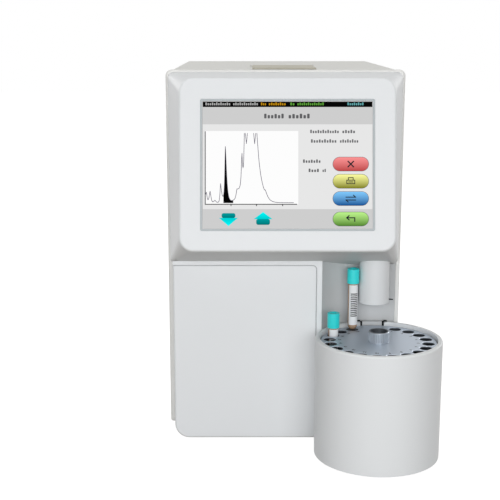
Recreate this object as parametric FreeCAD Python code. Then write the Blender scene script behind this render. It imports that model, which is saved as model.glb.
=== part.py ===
import FreeCAD, Part
import math
import os

# Bench-top glycohemoglobin analyzer: a tall narrow cabinet with a tilted
# touch screen head, a hinged service door below it, and a drum in front of
# the cabinet that turns a ring of blood tubes under a piercing needle.
# Lengths are millimetres. X = 0 is the middle of the cabinet, Y = 0 is the
# front plane of the door, Z = 0 is the table. The last section moves the
# origin to the middle of the footprint.

Vector = FreeCAD.Vector
X_AXIS = Vector(1, 0, 0)
Y_AXIS = Vector(0, 1, 0)
Z_AXIS = Vector(0, 0, 1)

# General
wall = 3.0
sheet = 1.5
fit_gap = 0.3
running_gap = 0.05
through = 1.0

# Cabinet
frame_width = 320.0
frame_top = 511.0
foot_height = 16.0
frame_front = 30.0
frame_depth = 6.0
frame_corner = 8.0
frame_round = 3.0
frame_bar = 12.0
skirt_depth = 14.0
skirt_wall = 2.0
cover_step = 1.5
cabinet_back = 455.0
fitting_reach = 12.0
vent_rows = 2
vent_slots = 12
vent_inset = 40.0
vent_pitch = 9.0
vent_width = 4.0
vent_height = 42.0
vent_row_gap = 14.0
vent_bottom = 70.0

# Lower front panel and door
panel_inset = 8.0
panel_bottom = 3.0
panel_corner = 20.0
panel_side_gap = 0.3
panel_depth = 12.0
door_strip = 8.2
door_head_strip = 6.6
door_seam = 1.2
door_depth = 8.0
door_swing_gap = 3.2
door_corner = 5.5
door_round = 3.0
door_hinge_inset = 5.0
door_hinge_setback = 5.0
hinge_pin_radius = 1.5
hinge_knuckle_radius = 3.0
hinge_knuckle_height = 12.0
hinge_inset_z = 30.0
hinge_arm_thickness = 1.5
hinge_arm_height = 4.0
hinge_arm_reach = 13.0
hinge_leg_width = 2.0
hinge_foot_width = 5.0
catch_inset = 2.0
catch_width = 6.0
catch_height = 18.0

# Head with the screen
face_width = 274.0
face_height = 219.2
face_tilt = 12.0
face_bottom_y = -91.7
face_bottom_z = 289.3
face_corner = 19.0
face_round = 4.0
head_inset = 3.0
head_back_corner = 8.0
underside_slope = 19.4
rim_width = 220.3
rim_height = 166.3
rim_border = 2.5
rim_corner = 2.5
rim_depth = 7.0
glass_recess = 1.2
glass_thickness = 3.0
display_thickness = 9.0

# Drum and alcove
drum_side = 36.7
drum_y = -48.0
drum_radius = 84.0
drum_wall = 6.0
drum_top = 163.6
drum_bottom = 3.0
drum_round = 2.5
alcove_gap = 3.0
ledge_width = 6.0
ledge_height = 3.0
drum_foot_radius = 2.5
rim_notch_width = 33.0
rim_block_width = 27.6
rim_notch_depth = 14.0
rim_rebate = 2.3
rim_rebate_depth = 1.0
tongue_width = 44.0
tongue_reach = 64.0
sensor_slot_width = 5.6
sensor_slot_height = 1.8
sensor_slot_x = 149.6
sensor_slot_z = 194.5

# Carousel
tray_radius = 76.5
tray_top = 158.5
tray_thickness = 2.0
hole_ring_radius = 65.0
hole_radius = 8.2
hole_countersink = 0.6
hole_pitch = 18.0
hole_count = 18
first_hole_angle = 63.0
seat_plate_bottom = 101.0
seat_plate_thickness = 6.0
seat_depth = 2.9
rack_post_ring = 50.0
rack_post_radius = 3.0
rack_post_count = 6
rack_hub_radius = 14.0
rack_flange_radius = 24.0
rack_flange_thickness = 3.0
spindle_radius = 5.0
spindle_stud_radius = 4.0
bearing_radius = 11.0
bearing_height = 7.0
pedestal_top = 74.0
pedestal_radius = 34.0
pedestal_wall = 3.0
motor_width = 42.0
motor_height = 40.0
motor_shaft_radius = 2.5
knob_radius = 13.65
knob_height = 14.5
knob_recess_radius = 11.0
knob_recess_depth = 5.0
knob_flutes = 36
knob_flute_radius = 0.7

# Blood tubes
tube_radius = 6.5
tube_length = 85.8
cap_radius = 8.3
cap_length = 20.5
cap_dish_radius = 4.6
cap_dish_depth = 2.0
tube_in_cap = 12.5
label_start = 7.5
label_length = 56.0
label_thickness = 0.15
standing_tube_angle = 153.0
raised_tube_angle = 117.0
raised_tube_bottom = 158.7

# Sampling needle
guard_radius = 20.5
guard_wall = 2.5
guard_bottom = 195.5
guard_top = 263.0
guard_hole_radius = 3.0
guard_flange_radius = 24.0
guard_flange_thickness = 2.0
needle_radius = 0.8
needle_tip_z = 229.0
bracket_foot_z = 252.0
bracket_plate_y = 52.0
bracket_width = 44.0
bracket_thickness = 3.0
bracket_top = 352.0
bracket_foot_depth = 48.0
rod_radius = 3.0
rod_spacing = 28.0
rod_setback = 13.0
carriage_bottom = 310.0
carriage_height = 20.0
carriage_width = 36.0
carriage_front = 7.0
carriage_depth = 32.0
screw_radius = 2.5
screw_spare = 4.0
needle_stroke = 36.0
needle_motor_width = 35.0
needle_motor_height = 30.0

# Printer in the top
lid_width = 88.0
lid_front = 75.0
lid_back = 190.0
lid_rise = 2.3
lid_lift = 0.3
lid_corner = 3.0
lid_margin = 3.0
lid_pin_radius = 0.5
lid_ear_width = 2.7
tub_wall = 2.0
tub_depth = 62.0
tub_flange = 2.0
paper_width = 57.0
paper_radius = 24.0
paper_core_radius = 6.0
platen_radius = 5.0
platen_pin_radius = 2.0
platen_drop = 7.0
platen_setback = 11.0
platen_ear = 3.0
print_head_thickness = 5.0
print_head_height = 16.0

# Service compartment
compartment_side = 18.0
compartment_strip = 5.4
compartment_bottom = 30.3
compartment_top = 240.0
compartment_back = 130.0
compartment_lip = 2.0
compartment_wall = 2.0
oven_width = 40.0
oven_height = 115.0
oven_depth = 40.0
oven_right_gap = 6.0
oven_bottom = 108.0
column_radius = 6.0
column_length = 84.0
column_end_radius = 7.5
column_end_length = 11.0
valve_z = 188.0
valve_radius = 21.0
valve_depth = 34.0
valve_ports = 6
valve_port_ring = 12.0
valve_port_radius = 3.2
valve_port_length = 9.0
valve_groove_start = 10.0
valve_groove_width = 4.0
valve_groove_depth = 1.5
pump_side = 8.0
pump_width = 50.0
pump_bottom = 62.0
pump_height = 92.0
pump_depth = 42.0
pump_round = 3.0
pump_head_depth = 8.0
pump_head_border = 4.0
check_valve_radius = 8.0
check_valve_height = 14.0
purge_knob_radius = 9.0
purge_knob_length = 15.0
purge_stem_radius = 3.0
purge_stem_length = 16.0
purge_lobe_radius = 2.2
purge_lobes = 8
drip_tray_height = 9.0
drip_tray_depth = 62.0
drip_tray_margin = 3.0

# Back of the cabinet
fan_x = -90.0
fan_drop = 111.0
fan_width = 80.0
fan_depth = 25.0
fan_bore = 38.0
fan_hub_radius = 17.0
fan_blades = 7
fan_blade_twist = 35.0
fan_blade_thickness = 1.6
fan_screw_inset = 4.2
fan_screw_radius = 2.2
fan_strut_width = 4.0
fan_strut_thickness = 3.0
fan_pin_radius = 1.5
fan_tip_gap = 1.2
fan_corner = 4.0
guard_thickness = 1.5
guard_ring_width = 2.2
guard_arm_width = 4.0
guard_ear_radius = 5.0
guard_rings = 4
inlet_x = 90.0
inlet_z = 78.0
inlet_width = 48.0
inlet_height = 28.0
inlet_body_depth = 22.0
inlet_flange = 3.0
inlet_border = 5.0
socket_width = 24.0
socket_height = 16.0
socket_depth = 16.0
pin_width = 2.0
pin_height = 5.0
pin_recess = 4.5
switch_z = 118.0
switch_width = 26.0
switch_height = 20.0
rocker_width = 18.0
rocker_height = 13.0
rocker_tilt = 8.0
serial_x = 20.0
serial_width = 19.0
serial_height = 9.0
shell_width = 17.0
shell_height = 8.0
shell_reach = 6.0
port_z = 96.0
network_x = -20.0
network_width = 16.0
network_height = 14.0
reagent_x = -90.0
reagent_z = 150.0
reagent_pitch = 24.0
reagent_count = 4
reagent_stem_radius = 5.0
reagent_nut_rim = 3.0
reagent_nut_height = 4.0

# Inside the cabinet
shelf_z = 252.0
shelf_front = 50.0
shelf_back = 440.0
supply_width = 100.0
supply_length = 160.0
supply_height = 40.0
supply_x = 80.0
supply_y = 340.0
terminal_inset = 10.0
terminal_depth = 8.0
terminal_height = 14.0
board_width = 220.0
board_length = 150.0
board_thickness = 1.6
board_y = 310.0
processor_width = 34.0
processor_height = 3.0
driver_width = 22.0
driver_length = 14.0
driver_height = 2.0
sink_width = 16.0
sink_length = 40.0
sink_height = 9.0
header_length = 60.0
header_width = 8.0
board_parts = ((-0.27, 0.0, processor_width, processor_width, processor_height),
               (0.05, 0.13, driver_width, driver_length, driver_height),
               (0.23, -0.2, sink_width, sink_length, sink_height),
               (-0.18, -0.33, header_length, header_width, header_width))
standoff_inset = 6.0
standoff_height = 8.0
standoff_radius = 3.0
foot_radius = 12.0
foot_inset_x = 28.0
foot_inset_y = 45.0

# Places that follow from the sizes above
half_frame = frame_width / 2
cover_half = half_frame - cover_step
panel_left = panel_inset - half_frame
drum_x = half_frame - drum_side
fan_z = frame_top - fan_drop
screw_top = bracket_top + needle_motor_height + needle_stroke + screw_spare
cover_top = frame_top - cover_step
frame_back = frame_front + frame_depth
cover_front = frame_back + fit_gap
alcove_radius = drum_radius + alcove_gap
slope = math.tan(math.radians(underside_slope))
panel_right = cover_half - sheet - fit_gap - skirt_wall - panel_side_gap
alcove_left = drum_x - math.sqrt(alcove_radius ** 2 - drum_y ** 2)
door_right = alcove_left - door_strip
compartment_left = panel_left + compartment_side
compartment_right = door_right - compartment_strip
valve_x = (compartment_left + compartment_right) / 2
pump_left = compartment_left + pump_side
door_top = face_bottom_z + face_bottom_y * slope - door_head_strip
liner_front = door_depth + door_swing_gap
hinge_x = panel_left + door_hinge_inset
hinge_y = door_hinge_setback
needle_y = drum_y + hole_ring_radius
face_up = Vector(0, math.sin(math.radians(face_tilt)), math.cos(math.radians(face_tilt)))
face_out = Vector(0, -math.cos(math.radians(face_tilt)), math.sin(math.radians(face_tilt)))
drum_axis = Vector(drum_x, drum_y, 0)
lid_top = cover_top + lid_rise
rear_y = cabinet_back - sheet


def under_head(y, lift=0.0):
    """Height of the head's sloping underside at depth y."""
    return face_bottom_z - (y - face_bottom_y) * slope + lift


def block(x0, x1, y0, y1, z0, z1):
    """A rectangular solid between two corners."""
    return Part.makeBox(x1 - x0, y1 - y0, z1 - z0, Vector(x0, y0, z0))


def rod(radius, start, end):
    """A round bar from one point to another."""
    run = end.sub(start)
    return Part.makeCylinder(radius, run.Length, start, run)


def ring(outer, inner, bottom, top, centre=drum_axis):
    """An upright tube about a vertical axis."""
    base = Vector(centre.x, centre.y, bottom)
    tube = Part.makeCylinder(outer, top - bottom, base)
    return tube.cut(Part.makeCylinder(inner, top - bottom, base))


def outline(u0, u1, v0, v1, radii, place):
    """A rectangle with rounded corners, lower left first, set in space by place(u, v)."""
    corners = [(u0, v0), (u1, v0), (u1, v1), (u0, v1)]
    runs = [(1, 0), (0, 1), (-1, 0), (0, -1)]
    starts, arcs, ends = [], [], []
    for i, (u, v) in enumerate(corners):
        radius = radii[i]
        came, goes = runs[i - 1], runs[i]
        cu = u - radius * came[0] + radius * goes[0]
        cv = v - radius * came[1] + radius * goes[1]
        reach = math.hypot(u - cu, v - cv)
        starts.append(place(u - radius * came[0], v - radius * came[1]))
        ends.append(place(u + radius * goes[0], v + radius * goes[1]))
        arcs.append(place(cu + (u - cu) / reach * radius, cv + (v - cv) / reach * radius))
    edges = []
    for i in range(4):
        edges.append(Part.Arc(starts[i], arcs[i], ends[i]).toShape())
        edges.append(Part.LineSegment(ends[i], starts[(i + 1) % 4]).toShape())
    return Part.Wire(edges)


def slab(u0, u1, v0, v1, radii, place, direction):
    """A rounded rectangle pushed along a direction into a solid."""
    return Part.Face(outline(u0, u1, v0, v1, radii, place)).extrude(direction)


def upright(y):
    """Places outline points in the plane that faces front at depth y."""
    return lambda u, v: Vector(u, y, v)


def level(z):
    """Places outline points in the level plane at height z."""
    return lambda u, v: Vector(u, v, z)


def on_face(depth):
    """Places outline points on the tilted face, sunk by a depth."""
    foot = Vector(0, face_bottom_y, face_bottom_z)
    return lambda u, v: foot + X_AXIS * u + face_up * v - face_out * depth


def above_underside(lift=0.0):
    """Everything above the head's underside plane, raised by a lift."""
    front, back, far = drum_y - 2 * drum_radius, cabinet_back, 2 * frame_top
    points = [(front, under_head(front, lift)), (back, under_head(back, lift)), (back, far), (front, far)]
    corners = [Vector(-frame_width, y, z) for y, z in points]
    wire = Part.makePolygon(corners + corners[:1])
    return Part.Face(wire).extrude(Vector(2 * frame_width, 0, 0))


def alcove_space(radius):
    """The round space that the drum stands in, up to the head's underside."""
    tall = Part.makeCylinder(radius, frame_top, Vector(drum_x, drum_y, -through))
    return tall.cut(above_underside())


def edges_where(shape, test):
    """Edges with every corner passing a test."""
    return [e for e in shape.Edges if all(test(v.Point) for v in e.Vertexes)]


def around(count, first=0.0, step=None):
    """Angles in radians of a pattern round a circle."""
    step = 360.0 / count if step is None else step
    return [math.radians(first + step * i) for i in range(count)]


def polar(radius, angle, z, centre=drum_axis):
    """A point on a circle round a vertical axis."""
    return Vector(centre.x + radius * math.cos(angle), centre.y + radius * math.sin(angle), z)


# Cabinet shell: the painted front frame, the folded cover, the base pan and the rear panel

def make_chassis_frame():
    """Painted front frame with a skirt that the cover slides over."""
    flange = slab(-half_frame, half_frame, foot_height, frame_top,
                  [frame_round + fit_gap, frame_round + fit_gap, frame_corner, frame_corner],
                  upright(frame_front), Y_AXIS * frame_depth)
    front_edges = edges_where(flange, lambda p: abs(p.y - frame_front) < 1e-6)
    flange = flange.makeFillet(frame_round, front_edges)
    inside_left = -half_frame + frame_bar
    inside_right = panel_right + panel_side_gap
    window = block(inside_left, inside_right, frame_front - through, frame_back + through,
                   foot_height + frame_bar + sheet, frame_top - frame_bar)
    skirt_half = cover_half - sheet - fit_gap
    skirt_top = cover_top - sheet - fit_gap
    skirt_bottom = foot_height + sheet + fit_gap
    skirt = block(-skirt_half, skirt_half, frame_back - sheet, frame_back + skirt_depth, skirt_bottom, skirt_top)
    corners = [e for e in skirt.Edges if e.tangentAt(0).isEqual(Y_AXIS, 1e-6) or e.tangentAt(0).isEqual(-Y_AXIS, 1e-6)]
    top_corners = [e for e in corners if e.Vertexes[0].Point.z > frame_width]
    skirt = skirt.makeFillet(frame_corner - sheet, top_corners)
    skirt = skirt.cut(block(-skirt_half + skirt_wall, skirt_half - skirt_wall, frame_front, frame_back + 2 * skirt_depth,
                            skirt_bottom + skirt_wall, skirt_top - skirt_wall))
    skirt = skirt.cut(slab(-half_frame, half_frame, foot_height, frame_top, [frame_round] * 4,
                           upright(frame_front), Y_AXIS * (frame_depth - sheet)))
    frame = flange.cut(window).fuse(skirt)
    passage = block(alcove_left - panel_depth - fit_gap, inside_right, frame_front - through,
                    frame_front + panel_depth + fit_gap, foot_height - through, under_head(frame_back, wall) + fit_gap)
    return frame.cut(passage).cut(alcove_space(alcove_radius)).removeSplitter()


def make_chassis_cover():
    """Folded steel cover: top and two sides, with vents and the printer opening."""
    outer = slab(-cover_half, cover_half, foot_height, cover_top, [sheet, sheet, frame_corner, frame_corner],
                 upright(cover_front), Y_AXIS * (cabinet_back - cover_front))
    inner = slab(-cover_half + sheet, cover_half - sheet, foot_height - 2 * frame_corner, cover_top - sheet,
                 [sheet, sheet, frame_corner - sheet, frame_corner - sheet],
                 upright(cover_front - through), Y_AXIS * (cabinet_back - cover_front + 2 * through))
    cover = outer.cut(inner)
    cover = cover.cut(block(-cover_half, cover_half, cover_front, cabinet_back, foot_height - through, foot_height + sheet))
    half = lid_width / 2 - lid_margin
    cover = cover.cut(slab(-half, half, lid_front + lid_margin, lid_back - lid_margin, [lid_corner] * 4,
                           level(cover_top - 2 * sheet), Z_AXIS * (4 * sheet)))
    slots = []
    for row in range(vent_rows):
        for step in range(vent_slots):
            y = cabinet_back - vent_inset - vent_pitch * step
            z = vent_bottom + row * (vent_height + vent_row_gap)
            slots.append(slab(y - vent_width / 2, y + vent_width / 2, z, z + vent_height, [vent_width / 2 - 0.01] * 4,
                              lambda u, v: Vector(-half_frame, u, v), X_AXIS * frame_width))
    return cover.cut(Part.makeCompound(slots))


def make_base_pan():
    """Folded floor of the cabinet with upturned sides."""
    half = cover_half - sheet - fit_gap
    front, back = frame_back + skirt_depth + fit_gap, rear_y
    pan = block(-half, half, cover_front, back, foot_height, foot_height + sheet)
    height = foot_height + frame_bar
    for side in (-1, 1):
        x0, x1 = sorted((side * half, side * (half - sheet)))
        pan = pan.fuse(block(x0, x1, front, back, foot_height, height))
    pan = pan.fuse(block(-half, half, back - sheet, back, foot_height, height))
    return pan.removeSplitter()


def make_rubber_feet():
    """Four turned rubber feet under the cabinet and four thin pads under the drum's ledge."""
    feet = []
    for x in (-half_frame + foot_inset_x, half_frame - foot_inset_x):
        for y in (frame_back + foot_inset_y, cabinet_back - foot_inset_y):
            foot = Part.makeCone(foot_radius - 2, foot_radius, foot_height, Vector(x, y, 0))
            foot = foot.cut(Part.makeCylinder(foot_radius / 3, foot_height / 3, Vector(x, y, 0)))
            feet.append(foot)
    under_ledge = drum_radius - drum_wall - ledge_width / 2
    for a in around(4, 45):
        feet.append(Part.makeCylinder(drum_foot_radius, drum_bottom, polar(under_ledge, a, 0)))
    return Part.makeCompound(feet)


def make_rear_panel():
    """Rear plate with the openings for the fan, the inlet, the switch and the ports."""
    half = cover_half - sheet - fit_gap
    bottom, top = foot_height + sheet + fit_gap, cover_top - sheet - fit_gap
    radii = [sheet, sheet, frame_corner - sheet - fit_gap, frame_corner - sheet - fit_gap]
    panel = slab(-half, half, bottom, top, radii, upright(rear_y), Y_AXIS * sheet)
    y0, deep = rear_y - through, sheet + 2 * through
    cuts = [Part.makeCylinder(fan_bore, deep, Vector(fan_x, y0, fan_z), Y_AXIS)]
    offset = fan_width / 2 - fan_screw_inset
    for sx in (-1, 1):
        for sz in (-1, 1):
            at = Vector(fan_x + sx * offset, y0, fan_z + sz * offset)
            cuts.append(Part.makeCylinder(fan_screw_radius, deep, at, Y_AXIS))
    for x, z, width, height in ((inlet_x, inlet_z, inlet_width, inlet_height),
                                (inlet_x, switch_z, switch_width, switch_height),
                                (serial_x, port_z, serial_width, serial_height),
                                (network_x, port_z, network_width, network_height)):
        hole_w, hole_h = width / 2 + fit_gap / 2, height / 2 + fit_gap / 2
        cuts.append(block(x - hole_w, x + hole_w, y0, y0 + deep, z - hole_h, z + hole_h))
    for i in range(reagent_count):
        at = Vector(reagent_x + i * reagent_pitch, y0, reagent_z)
        cuts.append(Part.makeCylinder(reagent_stem_radius, deep, at, Y_AXIS))
    return panel.cut(Part.makeCompound(cuts))


# Front mouldings: the head, the lower panel with its alcove, and the door

def guard_passage():
    """The round hole that the needle guard hangs through."""
    return Part.makeCylinder(guard_radius + fit_gap, guard_top - guard_bottom, Vector(drum_x, needle_y, guard_bottom))


def make_head_shell():
    """Moulded head: tilted face, four bevelled sides, open at the back."""
    side = half_frame - head_inset
    low = under_head(frame_front)
    high = frame_top - head_inset
    face_half = face_width / 2
    front = outline(-face_half, face_half, 0, face_height, [face_corner] * 4, on_face(0))
    back = outline(-side, side, low, high, [head_back_corner] * 4, upright(frame_front))
    outer = Part.makeLoft([front, back], True, True)
    foot = Vector(0, face_bottom_y, face_bottom_z)
    outer = outer.makeFillet(face_round, edges_where(outer, lambda p: abs((p - foot).dot(face_out)) < 1e-6))
    inner_front = outline(-face_half + wall, face_half - wall, wall, face_height - wall, [face_corner - wall] * 4,
                          on_face(wall))
    inner_back = outline(-side + wall, side - wall, low + wall, high - wall, [head_back_corner - wall] * 4,
                         upright(frame_front))
    shell = outer.cut(Part.makeLoft([inner_front, inner_back], True, True))
    centre = face_height / 2
    half_w, half_h = rim_width / 2 + fit_gap / 2, rim_height / 2 + fit_gap / 2
    shell = shell.cut(slab(-half_w, half_w, centre - half_h, centre + half_h, [rim_corner] * 4,
                           on_face(2 * wall), face_out * (4 * wall)))
    return shell.cut(guard_passage())


def make_front_panel():
    """Lower moulding: the door's surround on the left and the round alcove wall on the right."""
    back = frame_front + panel_depth
    inner_left = alcove_left - panel_depth
    left = slab(panel_left, inner_left + wall, panel_bottom, frame_width, [panel_corner, wall, wall, wall],
                upright(0), Y_AXIS * frame_front)
    right = block(inner_left, panel_right, 0, frame_front, panel_bottom, frame_width)
    right = right.fuse(block(inner_left, panel_right, frame_front, back, foot_height + sheet + fit_gap, frame_width))
    outer = left.fuse(right)
    ceiling = above_underside().common(block(-frame_width, frame_width, -frame_width, frame_front, 0, frame_width))
    outer = outer.cut(ceiling).cut(above_underside(wall)).cut(alcove_space(alcove_radius))
    outer = outer.removeSplitter()
    sole = foot_height + sheet + fit_gap + wall
    hollow = slab(panel_left + wall, inner_left + 2 * wall, panel_bottom + wall, frame_width,
                  [panel_corner - wall, wall, wall, wall], upright(wall), Y_AXIS * (frame_front - 2 * wall))
    hollow = hollow.fuse(block(panel_left + wall, panel_right - wall, wall, frame_front - wall,
                               panel_bottom + panel_corner, frame_width))
    hollow = hollow.fuse(block(inner_left, panel_right - wall, wall, frame_front - wall,
                               panel_bottom + wall, frame_width))
    hollow = hollow.fuse(block(panel_left + wall, panel_right - wall, wall, back + through, sole, frame_width)
                         .cut(block(panel_left, panel_left + panel_corner, 0, frame_width, 0, panel_bottom + panel_corner)))
    hollow = hollow.cut(above_underside(-wall))
    hollow = hollow.cut(Part.makeCylinder(alcove_radius + wall, frame_top, Vector(drum_x, drum_y, 0)))
    shell = outer.cut(hollow)
    step_x, step_z = door_right + door_seam, door_top + door_seam
    liner = outer.common(block(panel_left, step_x + wall, 0, liner_front + wall, panel_bottom, step_z + wall))
    shell = shell.fuse(liner)
    shell = shell.cut(block(panel_left - through, step_x, -through, liner_front, panel_bottom - through, step_z))
    shell = shell.cut(block(compartment_left + compartment_wall, compartment_right - compartment_wall,
                            0, liner_front + 2 * wall, compartment_bottom + compartment_wall,
                            compartment_top - compartment_wall))
    half = sensor_slot_width / 2
    shell = shell.cut(block(sensor_slot_x - half, sensor_slot_x + half, 0, frame_front + panel_depth + through,
                            sensor_slot_z - sensor_slot_height / 2, sensor_slot_z + sensor_slot_height / 2))
    shell = shell.cut(guard_passage())
    return shell.removeSplitter()


def make_door():
    """Moulded door with a short return on every side and two hinge knuckles."""
    body = slab(panel_left, alcove_left + door_strip, panel_bottom, frame_top, [panel_corner] * 4,
                upright(0), Y_AXIS * door_depth)
    near_face = edges_where(body, lambda p: abs(p.y) < 1e-6)
    body = body.makeFillet(door_round, near_face)
    trim = slab(panel_left - through, door_right, panel_bottom - through, door_top, [wall, wall, door_corner, wall],
                upright(-through), Y_AXIS * (door_depth + 2 * through))
    body = body.common(trim)
    seam_edges = edges_where(body, lambda p: abs(p.y) < 1e-6)
    body = body.makeChamfer(0.4, [e for e in seam_edges if is_seam(e)])
    hollow = slab(panel_left + wall, door_right - wall, panel_bottom + wall, door_top - wall,
                  [panel_corner - wall, wall, door_corner - wall, wall], upright(wall), Y_AXIS * door_depth)
    body = body.cut(hollow)
    for z in hinge_levels():
        body = body.fuse(Part.makeCylinder(hinge_knuckle_radius, hinge_knuckle_height, Vector(hinge_x, hinge_y, z)))
    for z in hinge_levels():
        body = body.cut(Part.makeCylinder(hinge_pin_radius + running_gap, hinge_knuckle_height,
                                          Vector(hinge_x, hinge_y, z)))
    return body.removeSplitter()


def is_seam(edge):
    """True for the door's straight front edges along its top and right seams."""
    middle = edge.CenterOfMass
    on_top = abs(middle.z - door_top) < 1e-3
    on_right = abs(middle.x - door_right) < 1e-3
    return on_top or on_right


def hinge_levels():
    """Lower ends of the two hinge knuckles."""
    return (panel_bottom + hinge_inset_z, door_top - hinge_inset_z - hinge_knuckle_height)


def make_door_hinges():
    """Two bent steel brackets, each with the pin that a knuckle turns on."""
    brackets = []
    back = hinge_y - fit_gap
    end = hinge_x + hinge_arm_reach
    for z in hinge_levels():
        low = z + hinge_knuckle_height + fit_gap
        top = low + hinge_arm_height
        pin = Part.makeCylinder(hinge_pin_radius, top - z, Vector(hinge_x, hinge_y, z))
        arm = block(hinge_x, end, back - hinge_arm_thickness, back, low, top)
        leg = block(end - hinge_leg_width, end, back - hinge_arm_thickness, liner_front, low, top)
        foot = block(end - hinge_foot_width, end, liner_front - sheet, liner_front,
                     low - hinge_arm_height, top + hinge_arm_height)
        brackets.append(pin.fuse([arm, leg, foot]).removeSplitter())
    return Part.makeCompound(brackets)


def make_door_catch():
    """Magnet block that holds the door shut."""
    middle = (panel_bottom + door_top) / 2
    right = door_right - wall - catch_inset
    return block(right - catch_width, right, wall + fit_gap, liner_front,
                 middle - catch_height / 2, middle + catch_height / 2)


# Screen

def screen_slab(width, height, corner, sunk, thickness):
    """A rounded plate centred on the face."""
    centre = face_height / 2
    return slab(-width / 2, width / 2, centre - height / 2, centre + height / 2, [corner] * 4,
                on_face(sunk + thickness), face_out * thickness)


def make_screen_rim():
    """Thin rim round the screen, with a flange behind the face."""
    rim = screen_slab(rim_width, rim_height, rim_corner, 0, rim_depth)
    rim = rim.fuse(screen_slab(rim_width + 2 * wall, rim_height + 2 * wall, rim_corner, wall + fit_gap,
                               rim_depth - wall - fit_gap))
    opening = screen_slab(rim_width - 2 * rim_border, rim_height - 2 * rim_border, 0.5, -through, rim_depth + 2 * through)
    return rim.cut(opening).removeSplitter()


def make_touch_glass():
    """Touch glass, just below the rim."""
    return screen_slab(rim_width - 2 * rim_border - fit_gap, rim_height - 2 * rim_border - fit_gap, 0.5,
                       glass_recess, glass_thickness)


def make_display_module():
    """Display panel with its board, fixed against the glass and the rim's back."""
    near = glass_recess + glass_thickness
    module = screen_slab(rim_width - 2 * rim_border - fit_gap, rim_height - 2 * rim_border - fit_gap, 0.5,
                         near, rim_depth - near)
    return module.fuse(screen_slab(rim_width - 2 * rim_border, rim_height - 4 * rim_border, 1.0, rim_depth,
                                   display_thickness)).removeSplitter()


# Sampling needle in its guard

def make_needle_guard():
    """Round guard that hangs from the head, closed but for the needle's hole."""
    axis = Vector(drum_x, needle_y, 0)
    base = Vector(drum_x, needle_y, guard_bottom)
    guard = Part.makeCylinder(guard_radius, guard_top - guard_bottom, base)
    flange = Part.makeCylinder(guard_flange_radius, guard_flange_thickness, axis + Z_AXIS * guard_top)
    guard = guard.fuse(flange)
    rounded = [e for e in guard.Edges if abs(e.CenterOfMass.z - guard_bottom) < 1e-6 and len(e.Vertexes) == 1]
    guard = guard.makeFillet(guard_wall / 2, rounded)
    inside = Part.makeCylinder(guard_radius - guard_wall, frame_width, base + Z_AXIS * guard_wall)
    hole = Part.makeCylinder(guard_hole_radius, frame_width, base - Z_AXIS * through)
    return guard.cut(inside).cut(hole)


def rod_places():
    """Centres of the two guide rods."""
    return [(drum_x + side * rod_spacing / 2, needle_y + rod_setback) for side in (-1, 1)]


def make_needle_bracket():
    """Bent bracket on the shelf with a lower and an upper lug for rods and motor."""
    lug_front = needle_y - guard_flange_radius / 2
    x0, x1 = drum_x - bracket_width / 2, drum_x + bracket_width / 2
    plate = block(x0, x1, bracket_plate_y, bracket_plate_y + bracket_thickness, bracket_foot_z, bracket_top)
    foot = block(x0, x1, bracket_plate_y, bracket_plate_y + bracket_foot_depth, bracket_foot_z,
                 bracket_foot_z + bracket_thickness)
    low = guard_top + guard_flange_thickness
    lower = block(x0, x1, lug_front, bracket_plate_y + bracket_thickness, low, low + bracket_thickness)
    upper = block(x0, x1, lug_front, bracket_plate_y + bracket_thickness, bracket_top - bracket_thickness, bracket_top)
    bracket = plate.fuse([foot, lower, upper])
    for x, y in rod_places():
        bracket = bracket.cut(Part.makeCylinder(rod_radius, frame_top, Vector(x, y, 0)))
    bracket = bracket.cut(Part.makeCylinder(guard_hole_radius, bracket_top - low, Vector(drum_x, needle_y, low - through)))
    screw_hole = Part.makeCylinder(screw_radius + 1, frame_top, Vector(drum_x, needle_y + rod_setback, low + bracket_thickness))
    return bracket.cut(screw_hole).removeSplitter()


def make_guide_rods():
    """Two ground rods between the bracket's lugs."""
    low = guard_top + guard_flange_thickness
    rods = [Part.makeCylinder(rod_radius, bracket_top - low, Vector(x, y, low)) for x, y in rod_places()]
    return Part.makeCompound(rods)


def make_needle_carriage():
    """Carriage that slides on the rods and holds the needle and the screw."""
    x0 = drum_x - carriage_width / 2 - rod_radius
    y0 = carriage_front
    body = block(x0, 2 * drum_x - x0, y0, y0 + carriage_depth, carriage_bottom, carriage_bottom + carriage_height)
    upright_edges = edges_where(body, lambda p: True)
    body = body.makeFillet(2.0, [e for e in upright_edges if abs(e.tangentAt(0).z) > 0.9])
    for x, y in rod_places():
        body = body.cut(Part.makeCylinder(rod_radius + running_gap, frame_top, Vector(x, y, 0)))
    body = body.cut(Part.makeCylinder(needle_radius, frame_top, Vector(drum_x, needle_y, 0)))
    screw_seat = Vector(drum_x, needle_y + rod_setback, carriage_bottom + carriage_height / 2)
    return body.cut(Part.makeCylinder(screw_radius, frame_top, screw_seat))


def make_sampling_needle():
    """Hollow piercing needle with a ground point and a hub on top."""
    top = carriage_bottom + carriage_height
    point = 4 * needle_radius
    shaft = Part.makeCylinder(needle_radius, top - needle_tip_z - point, Vector(drum_x, needle_y, needle_tip_z + point))
    tip = Part.makeCone(needle_radius / 4, needle_radius, point, Vector(drum_x, needle_y, needle_tip_z))
    hub = Part.makeCylinder(4 * needle_radius, 8 * needle_radius, Vector(drum_x, needle_y, top))
    return tip.fuse([shaft, hub]).removeSplitter()


def make_lead_screw():
    """Screw fixed in the carriage, which the hollow motor's nut pulls up and down."""
    foot = carriage_bottom + carriage_height / 2
    return Part.makeCylinder(screw_radius, screw_top - foot, Vector(drum_x, needle_y + rod_setback, foot))


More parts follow.
